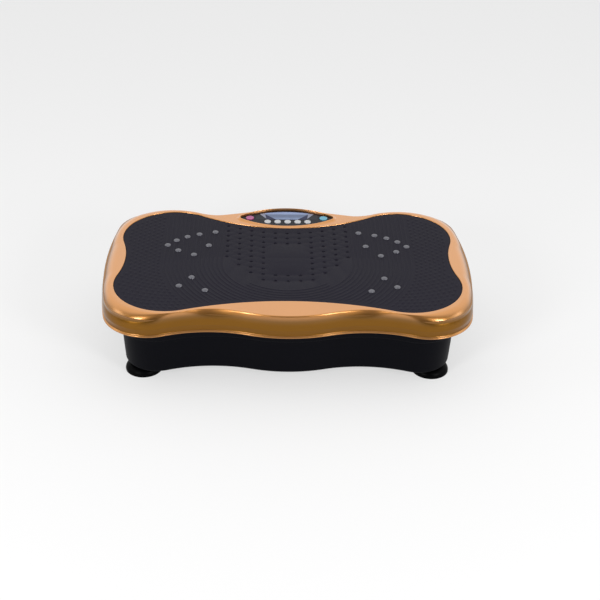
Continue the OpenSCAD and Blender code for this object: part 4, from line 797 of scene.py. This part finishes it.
def ridge_paths(m, outline):
    """U-shaped lines round the middle: half circles in front and straight runs to the rear, cut at the outline."""
    short_r, short_turn, rear_y = 92 * MM, math.radians(42), 150 * MM
    paths = []
    for radius in m.first_ridge + m.ridge_pitch * np.arange(m.ridges):
        short = radius < short_r
        turn = short_turn if short else math.pi / 2
        a = np.linspace(-turn, turn, 72) - math.pi / 2
        bend = np.column_stack((radius * np.cos(a), RIDGE_Y + radius * np.sin(a)))
        if not short:
            y = np.linspace(rear_y, RIDGE_Y, 60, endpoint=False)
            run = np.column_stack((np.full(len(y), radius), y))
            bend = np.vstack((run * (-1, 1), bend, run[::-1]))
        keep = inside(bend, outline)
        cuts = np.flatnonzero(np.diff(keep.astype(int))) + 1
        for part, kept in zip(np.split(bend, cuts), np.split(keep, cuts)):
            if kept[0] and len(part) > 5:
                paths.append(part)
    return paths


def scale_pads(m, outline, start):
    """Low diamond pads in staggered rows outside the ridges, along the same U-shaped lines."""
    row_step, pad_step = 6.4 * MM, 10.4 * MM
    row, run = np.meshgrid(np.arange(12), np.arange(-16, 32), indexing="ij")
    d = (start + row_step * row).ravel()
    s = ((run + 0.5 * (row % 2)) * pad_step).ravel()
    middle_d = start + 4 * row_step
    a = np.clip(s, 0, None) / middle_d
    x = d * np.cos(a)
    y = RIDGE_Y - np.minimum(s, 0) - d * np.sin(a)
    keep = (a < math.pi / 2) & inside(np.column_stack((x, y)), outline)
    x, y, a = x[keep], y[keep], a[keep]
    x, y, a = np.concatenate((x, -x)), np.concatenate((y, y)), np.concatenate((a, -a))
    half = np.array([(0, 4.6), (1.7, 2.2), (2.6, 0), (1.7, -2.2)]) * MM
    shape = np.vstack((half, -half))
    levels = [(1.0, -0.3), (0.86, 0.2), (0.5, 0.42), (0.0, 0.46)]
    cos, sin = np.cos(-a)[:, None], np.sin(-a)[:, None]
    rows = []
    for share, z in levels:
        px = x[:, None] + share * (shape[:, 0] * cos - shape[:, 1] * sin)
        py = y[:, None] + share * (shape[:, 0] * sin + shape[:, 1] * cos)
        rows.append(np.stack((px, py, np.full(px.shape, MAT_Z + z * MM)), axis=-1))
    points = np.stack(rows, axis=1).reshape(-1, 3)
    size = len(levels) * len(shape)
    steps = np.arange(len(x))[:, None, None] * size
    faces = (grid_faces(len(levels), len(shape), True)[None] + steps).reshape(-1, 4)
    floor = np.arange(len(shape))[None] + np.arange(len(x))[:, None] * size
    return [(points, faces), (points, floor)]


def mat_patches(m):
    """The mat: a slab with a rounded edge and grip holes, curved ridges, and diamond pads on its outer lobes."""
    edge, edge_in = with_normals(mat_outline, m)
    rim = rings(edge, edge_in, (
        (0.3, MAT_LOW_Z), (0.3, MAT_Z - 1.0 * MM), (0.45, MAT_Z - 0.5 * MM), (0.8, MAT_Z - 0.15 * MM), (1.3, MAT_Z),
        (1.6, MAT_Z),
    ))
    places = grip_holes(m)
    r, deep, sides = m.hole_r, m.hole_depth, 20
    hole = [
        (r + 0.5 * MM, MAT_Z), (r + 0.25 * MM, MAT_Z - 0.08 * MM), (r, MAT_Z - 0.4 * MM),
        (r - 0.15 * MM, MAT_Z - deep), (0, MAT_Z - deep),
    ]
    rims = list(circle((0, 0), r + 0.5 * MM, sides)[None] + places[:, None])
    inner = mat_outline(m, 4 * MM)
    a = np.radians(np.linspace(180, 0, 7))
    half = np.column_stack((np.cos(a) * m.ridge_w / 2, np.sin(a) * (m.ridge_h + 0.25 * MM) - 0.25 * MM))
    start = m.first_ridge + m.ridge_pitch * m.ridges + 2 * MM
    return [
        loft(rim), revolve(hole, places, sides),
        flat(rim[-1], MAT_Z, rims), flat(rim[0], MAT_LOW_Z),
        *bead(ridge_paths(m, inner), half), *scale_pads(m, mat_outline(m, 7 * MM), start),
    ]


STUD_PLACES = np.array([
    (105, 78), (128, 71), (145, 63), (160, 52), (172, 38), (156, 23), (133, 11), (113, 38), (133, -52), (149, -75),
    (113, -86),
]) * MM


def stud_patches(m):
    """Domed studs in two mirrored groups: a rounded skirt and a low ellipse over it."""
    places = np.vstack((STUD_PLACES, STUD_PLACES * (-1, 1)))
    a = np.radians(np.linspace(0, 90, 9))
    low_z = MAT_Z - 0.4 * MM
    dome = np.column_stack((m.stud_r * np.cos(a), MAT_Z + m.stud_h * np.sin(a)))
    profile = np.vstack(([(0, low_z), (m.stud_r, low_z)], dome))
    profile[-1, 0] = 0
    return [revolve(profile, places, 36)]


def window_outline(p, inset):
    """The display: straight in front and at its ends, and curved with the panel's rear edge."""
    rear = eye_outline(p, p.window_rim + inset)
    half = p.window_l / 2 - inset
    front = FASCIA_AT[1] + p.window_front + inset
    rear = rear[(rear[:, 1] > FASCIA_AT[1]) & (np.abs(rear[:, 0]) < half - 0.3 * MM)]
    side_y = rear[0, 1]
    soften = 1.2 * MM
    right = np.vstack((
        arc((half - soften, front + soften), soften, -math.pi / 2, 0, 6), [(half, front + soften)],
        [(half, side_y - soften * 0.6), (half - 0.1 * MM, side_y - soften * 0.2)],
    ))
    left = (right * (-1, 1))[::-1]
    return np.vstack((right, rear, left))


def button_places():
    """Middles of the seven buttons, from their nodes."""
    names = [f"button_{i}" for i in range(1, 6)] + ["left_button", "right_button"]
    return {name: centre(name) for name in names}


def button_radius(p, node):
    """Radius of a button: the two at the tips are larger."""
    return p.button_r if node.startswith("button") else p.side_button_r


def fascia_patches(p):
    """The overlay: a thin plate with a rounded rim, an opening for the display and round holes for the buttons."""
    eye, eye_in = with_normals(eye_outline, p)
    rim = rings(eye, eye_in, (
        (0, LEDGE_Z), (0, FASCIA_Z - 0.5 * MM), (0.15, FASCIA_Z - 0.15 * MM), (0.5, FASCIA_Z), (0.7, FASCIA_Z)
    ))
    window = window_outline(p, -0.12 * MM)
    tops, lows, walls, sides = [window], [window], [], 40
    for node, place in button_places().items():
        r = button_radius(p, node) + p.button_gap
        walls.append(revolve([(r + 0.25 * MM, FASCIA_Z), (r, FASCIA_Z - 0.25 * MM), (r, LEDGE_Z)], place, sides))
        tops.append(circle(place, r + 0.25 * MM, sides))
        lows.append(circle(place, r, sides))
    return [
        loft(rim), *walls, loft([ring(window, FASCIA_Z), ring(window, LEDGE_Z)]),
        flat(rim[-1], FASCIA_Z, tops), flat(rim[0], LEDGE_Z, lows),
    ]


def window_patches(p):
    """The display window: a slab with a fine bevel, level with the overlay."""
    rows = [ring(window_outline(p, inset * MM), z) for inset, z in (
        (0.0, LEDGE_Z), (0.0, FASCIA_Z - 0.25 * MM), (0.2, FASCIA_Z - 0.03 * MM), (0.35, FASCIA_Z - 0.03 * MM),
    )]
    return [loft(rows), flat(rows[-1], FASCIA_Z - 0.03 * MM), flat(rows[0], LEDGE_Z)]


def button_profile(r, low_z, top_z):
    """A button's section: flange under the overlay, straight body, rounded edge and a slightly dished top."""
    round_r = 0.5 * MM
    flange = 6 * MM
    edge = corner_arc((r - round_r, top_z - round_r), round_r, 0, 90, 7)
    return np.vstack((
        [(0, low_z), (flange, low_z), (flange, LEDGE_Z - 0.3 * MM), (r, LEDGE_Z - 0.3 * MM)],
        edge,
        [(r * 0.78, top_z - 0.02 * MM), (r * 0.6, top_z - 0.12 * MM), (r * 0.35, top_z - 0.2 * MM)],
        [(0, top_z - 0.24 * MM)],
    ))


def base_section(b):
    """Inset and height up the base's outside: rounded lower edge, leaning wall, soft step out, and a straight band."""
    def lean(z):
        """Inset of the wall: the draft times a power of the share of the way down from the shoulder."""
        return b.draft * ((b.shoulder_z - z) / (b.shoulder_z - BASE_LOW_Z)) ** 1.2

    a = np.radians(np.linspace(-90, 0, 7))
    edge_z = BASE_LOW_Z + b.edge_r
    edge = np.column_stack((lean(edge_z) + b.edge_r * (1 - np.cos(a)), edge_z + b.edge_r * np.sin(a)))
    pocket = np.array([b.pocket_z - b.pocket_h / 2, b.pocket_z + b.pocket_h / 2])
    wall_z = np.unique(np.concatenate((np.linspace(edge_z, b.shoulder_z, 16)[1:-1], pocket)))
    wall = np.column_stack((lean(wall_z), wall_z))
    t = np.linspace(0, 1, 9)
    shoulder = np.column_stack((BASE_FLARE * (np.cos(math.pi * t) - 1) / 2, b.shoulder_z + b.shoulder_h * t))
    band = [(-BASE_FLARE, BASE_TOP_Z - 0.6 * MM), (0.2 * MM - BASE_FLARE, BASE_TOP_Z - 0.15 * MM),
            (0.6 * MM - BASE_FLARE, BASE_TOP_Z)]
    return np.vstack((edge, wall, shoulder, band))


def inlet_opening(b):
    """Loop round the opening for the inlet's body, by length and height."""
    half = [span("power_inlet", axis) / 2 - b.inlet_step + 0.2 * MM for axis in (0, 2)]
    return np.array([(-1, -1), (1, -1), (1, 1), (-1, 1)]) * half + (0, b.pocket_z)


def upright(outer, hole, y):
    """Triangles of a plane that faces the rear, between a loop and the loop of its hole."""
    points, faces = flat(outer, 0, [hole])
    return np.insert(points[:, :2], 1, y, axis=1), faces


def base_wall(b, section, half_w, z_limits, back_y):
    """The base's wall through a section, with a pocket in its rear: the grid inside the limits is set back to a plane.

    Near the rear bulge the columns keep their place along the length, so the pocket's sides are straight.
    """
    points, inward = with_normals(wave_outline, BASE_W, BASE_D, b)
    x, rear = points[:, 0], points[:, 1] > 0
    near = rear & (np.abs(x) < 60 * MM)
    columns = np.flatnonzero(near)
    place = x.copy()
    for limit in (-half_w, half_w):
        k = columns[np.argmin(np.abs(x[columns] - limit))]
        place[k] = limit
    hold = np.where(rear, 1 - smooth((np.abs(place) - 40 * MM) / (18 * MM)), 0)
    bulge_y = BASE_D / 2 - b.bulge_r
    rows = []
    for inset, z in section:
        row = points + inward * inset
        row_x = row[:, 0] * (1 - hold) + place * hold
        arc_y = bulge_y + np.sqrt(np.maximum((b.bulge_r - inset) ** 2 - row_x ** 2, 0))
        row = np.column_stack((row_x, np.where(hold > 0, arc_y, row[:, 1])))
        rows.append(ring(row, z))
    rows = np.array(rows)
    across = np.flatnonzero(near & (np.abs(place) <= half_w + 1e-6))
    up = np.flatnonzero((section[:, 1] >= z_limits[0] - 1e-6) & (section[:, 1] <= z_limits[1] + 1e-6))
    points_all, faces = loft(rows)
    columns_all = rows.shape[1]
    face_row = faces[:, 0] // columns_all
    face_col = faces[:, 0] % columns_all
    cut = np.isin(face_row, up[:-1]) & np.isin(face_col, across[:-1])
    mouth = rows[np.ix_(up, across)]
    back = mouth.copy()
    back[:, :, 1] = back_y
    walls = [loft([mouth[i], back[i]], False) for i in (0, -1)]
    walls += [loft([mouth[:, j], back[:, j]], False) for j in (0, -1)]
    border = np.vstack((back[0], back[1:, -1], back[-1, -2::-1], back[-2:0:-1, 0]))[:, [0, 2]]
    return rows, [(points_all, faces[~cut]), upright(border, inlet_opening(b), back_y), *walls]


def base_patches(b):
    """The base: outer wall with the inlet's pocket, inner wall behind it, level floor inside and out."""
    section, wall = base_section(b), b.wall
    limits = b.pocket_z + np.array([-0.5, 0.5]) * b.pocket_h
    outer, outside = base_wall(b, section, b.pocket_w / 2, limits, b.pocket_y)
    floor_z = BASE_LOW_Z + wall
    inner_section = section[::-1] + (wall, 0)
    inner_section = inner_section[inner_section[:, 1] > floor_z + 0.5 * MM]
    limits = limits + (-wall, wall)
    ends = np.column_stack((np.interp(limits, inner_section[::-1, 1], inner_section[::-1, 0]), limits))
    inner_section = np.vstack((inner_section, ends))
    inner_section = inner_section[np.argsort(-inner_section[:, 1], kind="stable")]
    inner_section = np.vstack((inner_section, [(inner_section[-1, 0], floor_z)]))
    inner, inside_walls = base_wall(b, inner_section, b.pocket_w / 2 + wall, limits, b.pocket_y - wall)
    opening = inlet_opening(b)
    tunnel = loft([np.insert(opening, 1, y, axis=1) for y in (b.pocket_y, b.pocket_y - wall)])
    return [
        *outside, *inside_walls, tunnel, loft([outer[-1], inner[0]]),
        flat(outer[0], BASE_LOW_Z), flat(inner[-1], floor_z),
    ]


def foot_profile(b, top_z):
    """A suction foot's section: flat lip, bulging cup, narrow neck with a groove, collar, and the hollow underneath."""
    r, neck = b.foot_r, b.foot_neck_r
    lip = 1.4 * MM
    a = np.radians(np.linspace(0, 90, 14))
    cup_h = top_z - lip - 4.2 * MM
    cup = np.column_stack((neck + (r - neck) * np.cos(a) ** 0.8, lip + cup_h * np.sin(a)))
    return np.vstack((
        [(0, 3.4 * MM), (r * 0.45, 3.2 * MM), (r * 0.7, 2.2 * MM), (r * 0.86, 0.5 * MM), (r * 0.9, 0)],
        corner_arc((r - 0.7 * MM, 0.7 * MM), 0.7 * MM, -90, 0, 5), cup,
        [(neck - 0.6 * MM, top_z - 2.4 * MM), (neck, top_z - 2.0 * MM), (neck + 2.3 * MM, top_z - 1.6 * MM),
         (neck + 2.5 * MM, top_z - 1.2 * MM), (neck + 2.5 * MM, top_z), (0, top_z)],
    ))


# Stage

FRAME_SIZE = 600
AXIS_AT = (287.66, 258)
FLOOR_REACH = 12.0
WHITE_SHARE, WHITE = 0.6, 0.93
LAMPS = (
    ("softbox_front_left", (-1.22, -1.59, 0.95), (0.5, 0.7), 22.0),
    ("softbox_front_right", (1.29, -1.53, 0.95), (0.5, 0.7), 22.0),
    ("softbox_left", (-1.6, -0.3, 0.7), (0.8, 0.8), 4.5),
    ("softbox_right", (1.6, -0.3, 0.7), (0.8, 0.8), 4.5),
)


def make_floor(scene, colours):
    """A wide level sheet of pale matt paper, which is partly white of itself to the camera and to reflections."""
    corners = np.array([(-1, -1, 0), (1, -1, 0), (1, 1, 0), (-1, 1, 0)]) * FLOOR_REACH
    mesh = bpy.data.meshes.new("floor")
    mesh.from_pydata(corners.tolist(), [], [(0, 1, 2, 3)])
    floor = bpy.data.objects.new("floor", mesh)
    scene.collection.objects.link(floor)
    paint = Finish("studio_floor", {"Specular IOR Level": 0.1, "Roughness": 0.8})
    paint.feed({"Base Color": paint.shade(paint.noise(2, 2), colours, 0.985, 1.0)})
    rays = ("Is Camera Ray", "Is Glossy Ray", "Is Transmission Ray")
    camera, glossy_ray, transmission = (paint.node("ShaderNodeLightPath", output=ray) for ray in rays)
    share = (camera + glossy_ray + transmission) * WHITE_SHARE
    white = paint.node("ShaderNodeEmission", inputs={"Color": (1, 1, 1, 1), "Strength": WHITE})
    lit = Value(paint, paint.shader.outputs[0])
    seen = paint.node("ShaderNodeMixShader", inputs={0: share, 1: lit, 2: white})
    paint.join(paint.tree.nodes["Material Output"].inputs["Surface"], seen)
    mesh.materials.append(paint.material)


def make_world(scene):
    """A pale surround that is brighter behind and overhead than in front."""
    world = bpy.data.worlds.new("studio")
    world.use_nodes = True
    scene.world = world
    tree = world.node_tree
    at = tree.nodes.new("ShaderNodeTexCoord")
    lean = tree.nodes.new("ShaderNodeVectorMath")
    lean.operation = "DOT_PRODUCT"
    lean.inputs[1].default_value = (0, 1, 0.6)
    strength = tree.nodes.new("ShaderNodeMapRange")
    strength.interpolation_type = "SMOOTHSTEP"
    for key, value in {"From Min": -0.1, "From Max": 0.7, "To Min": 0.12, "To Max": 1.12}.items():
        strength.inputs[key].default_value = value
    back = tree.nodes["Background"]
    back.inputs["Color"].default_value = (1, 1, 1, 1)
    tree.links.new(at.outputs["Generated"], lean.inputs[0])
    tree.links.new(lean.outputs["Value"], strength.inputs["Value"])
    tree.links.new(strength.outputs[0], back.inputs["Strength"])


def facing(place, target):
    """Matrix of a lamp or camera at a place, looking at a target."""
    return Matrix.Translation(place) @ (target - place).to_track_quat("-Z", "Y").to_matrix().to_4x4()


def softbox(scene, name, place, size, power):
    """A rectangular lamp that faces the object."""
    data = bpy.data.lights.new(name, "AREA")
    data.shape = "RECTANGLE"
    data.size, data.size_y = size
    data.energy = power
    lamp = bpy.data.objects.new(name, data)
    lamp.matrix_world = facing(Vector(place), Vector((0, 0, 0.1)))
    scene.collection.objects.link(lamp)


def make_camera(scene, s):
    """A camera at an angle, with its axis off the middle of the frame."""
    target = Vector((0, 0, s.aim_z))
    reach = s.distance * math.cos(s.elevation)
    eye = target + Vector((reach * math.sin(s.yaw), -reach * math.cos(s.yaw), s.distance * math.sin(s.elevation)))
    data = bpy.data.cameras.new("camera")
    data.lens = s.lens
    data.shift_x = (FRAME_SIZE / 2 - AXIS_AT[0]) / FRAME_SIZE
    data.shift_y = (AXIS_AT[1] - FRAME_SIZE / 2) / FRAME_SIZE
    data.clip_end = 50
    camera = bpy.data.objects.new("camera", data)
    camera.matrix_world = facing(eye, target) @ Matrix.Rotation(s.roll, 4, "Z")
    scene.collection.objects.link(camera)
    scene.camera = camera


# Operators

class PlateOperator:
    """What the operators share: their options and their settings."""
    bl_options = {"REGISTER", "UNDO"}

    @property
    def plate(self):
        return bpy.context.scene.vibration_plate


class VIBRATION_PLATE_OT_stage(PlateOperator, bpy.types.Operator):
    """Make the floor, the soft studio light and the camera"""
    bl_idname = "vibration_plate.stage"
    bl_label = "Stage"

    def execute(self, context):
        scene = context.scene
        scene.view_settings.view_transform = "Standard"
        make_floor(scene, self.plate.stage.floor)
        make_world(scene)
        for lamp in LAMPS:
            softbox(scene, *lamp)
        make_camera(scene, self.plate.stage)
        return {"FINISHED"}


class VIBRATION_PLATE_OT_finishes(PlateOperator, bpy.types.Operator):
    """Make the finishes, and put them on the pieces that keep their solids"""
    bl_idname = "vibration_plate.finishes"
    bl_label = "Finishes"

    def execute(self, context):
        make_finishes(self.plate.finish)
        for node, slot in SLOT_OF.items():
            materials = bpy.data.objects[node].data.materials
            materials.clear()
            materials.append(finish_of(slot))
        return {"FINISHED"}


class VIBRATION_PLATE_OT_cover(PlateOperator, bpy.types.Operator):
    """Build the gold cover with its skirt and the ring round the control panel"""
    bl_idname = "vibration_plate.cover"
    bl_label = "Gold cover"

    def execute(self, context):
        patches = cover_patches(self.plate.cover, self.plate.mat, self.plate.panel)
        make_piece("gold_cover", patches, "platform", "top_cover", 40)
        return {"FINISHED"}


class VIBRATION_PLATE_OT_mat(PlateOperator, bpy.types.Operator):
    """Build the ridged foot mat"""
    bl_idname = "vibration_plate.mat"
    bl_label = "Foot mat"

    def execute(self, context):
        make_piece("ridged_mat", mat_patches(self.plate.mat), "platform", "foot_mat")
        return {"FINISHED"}


class VIBRATION_PLATE_OT_studs(PlateOperator, bpy.types.Operator):
    """Build the domed studs"""
    bl_idname = "vibration_plate.studs"
    bl_label = "Studs"

    def execute(self, context):
        make_piece("domed_studs", stud_patches(self.plate.mat), "platform", "massage_studs")
        return {"FINISHED"}


class VIBRATION_PLATE_OT_panel(PlateOperator, bpy.types.Operator):
    """Build the overlay of the control panel and its display window"""
    bl_idname = "vibration_plate.panel"
    bl_label = "Control panel"

    def execute(self, context):
        make_piece("panel_overlay", fascia_patches(self.plate.panel), "platform", "panel_fascia")
        make_piece("panel_display", window_patches(self.plate.panel), "platform", "display_window")
        return {"FINISHED"}


class VIBRATION_PLATE_OT_buttons(PlateOperator, bpy.types.Operator):
    """Build the seven buttons"""
    bl_idname = "vibration_plate.buttons"
    bl_label = "Buttons"

    def execute(self, context):
        for node, place in button_places().items():
            profile = button_profile(button_radius(self.plate.panel, node), low(node, 2), high(node, 2))
            make_piece(f"{node}_dished", [revolve(profile, place, 48)], f"{node}_cap", node)
        return {"FINISHED"}


class VIBRATION_PLATE_OT_base(PlateOperator, bpy.types.Operator):
    """Build the black base with the pocket of its power inlet"""
    bl_idname = "vibration_plate.base"
    bl_label = "Base"

    def execute(self, context):
        make_piece("black_base", base_patches(self.plate.base), "base", "base_shell", 40)
        return {"FINISHED"}


class VIBRATION_PLATE_OT_feet(PlateOperator, bpy.types.Operator):
    """Build the four suction feet"""
    bl_idname = "vibration_plate.feet"
    bl_label = "Suction feet"

    def execute(self, context):
        for corner in ("front_left", "front_right", "rear_left", "rear_right"):
            node = f"{corner}_foot"
            profile = foot_profile(self.plate.base, high(node, 2))
            make_piece(f"{corner}_cup", [revolve(profile, centre(node), 64)], "base", node)
        return {"FINISHED"}


OPERATORS = (
    VIBRATION_PLATE_OT_stage, VIBRATION_PLATE_OT_finishes, VIBRATION_PLATE_OT_cover, VIBRATION_PLATE_OT_mat,
    VIBRATION_PLATE_OT_studs, VIBRATION_PLATE_OT_panel, VIBRATION_PLATE_OT_buttons, VIBRATION_PLATE_OT_base,
    VIBRATION_PLATE_OT_feet,
)


class VIBRATION_PLATE_PT_panel(bpy.types.Panel):
    """Buttons for the stage, the finishes and each piece"""
    bl_idname = "VIBRATION_PLATE_PT_panel"
    bl_label = "Vibration Plate"
    bl_space_type = "VIEW_3D"
    bl_region_type = "UI"
    bl_category = "Vibration Plate"

    def draw(self, context):
        for operator in OPERATORS:
            self.layout.operator(operator.bl_idname)


CLASSES = (
    CoverSettings, MatSettings, PanelSettings, BaseSettings, FinishSettings, StageSettings, PlateSettings,
    *OPERATORS, VIBRATION_PLATE_PT_panel,
)


def register():
    for cls in CLASSES:
        bpy.utils.register_class(cls)
    bpy.types.Scene.vibration_plate = PointerProperty(type=PlateSettings)


def unregister():
    del bpy.types.Scene.vibration_plate
    for cls in reversed(CLASSES):
        bpy.utils.unregister_class(cls)


def main():
    register()
    for name in ("stage", "finishes", "cover", "mat", "studs", "panel", "buttons", "base", "feet"):
        getattr(bpy.ops.vibration_plate, name)()


if __name__ == "__main__":
    main()
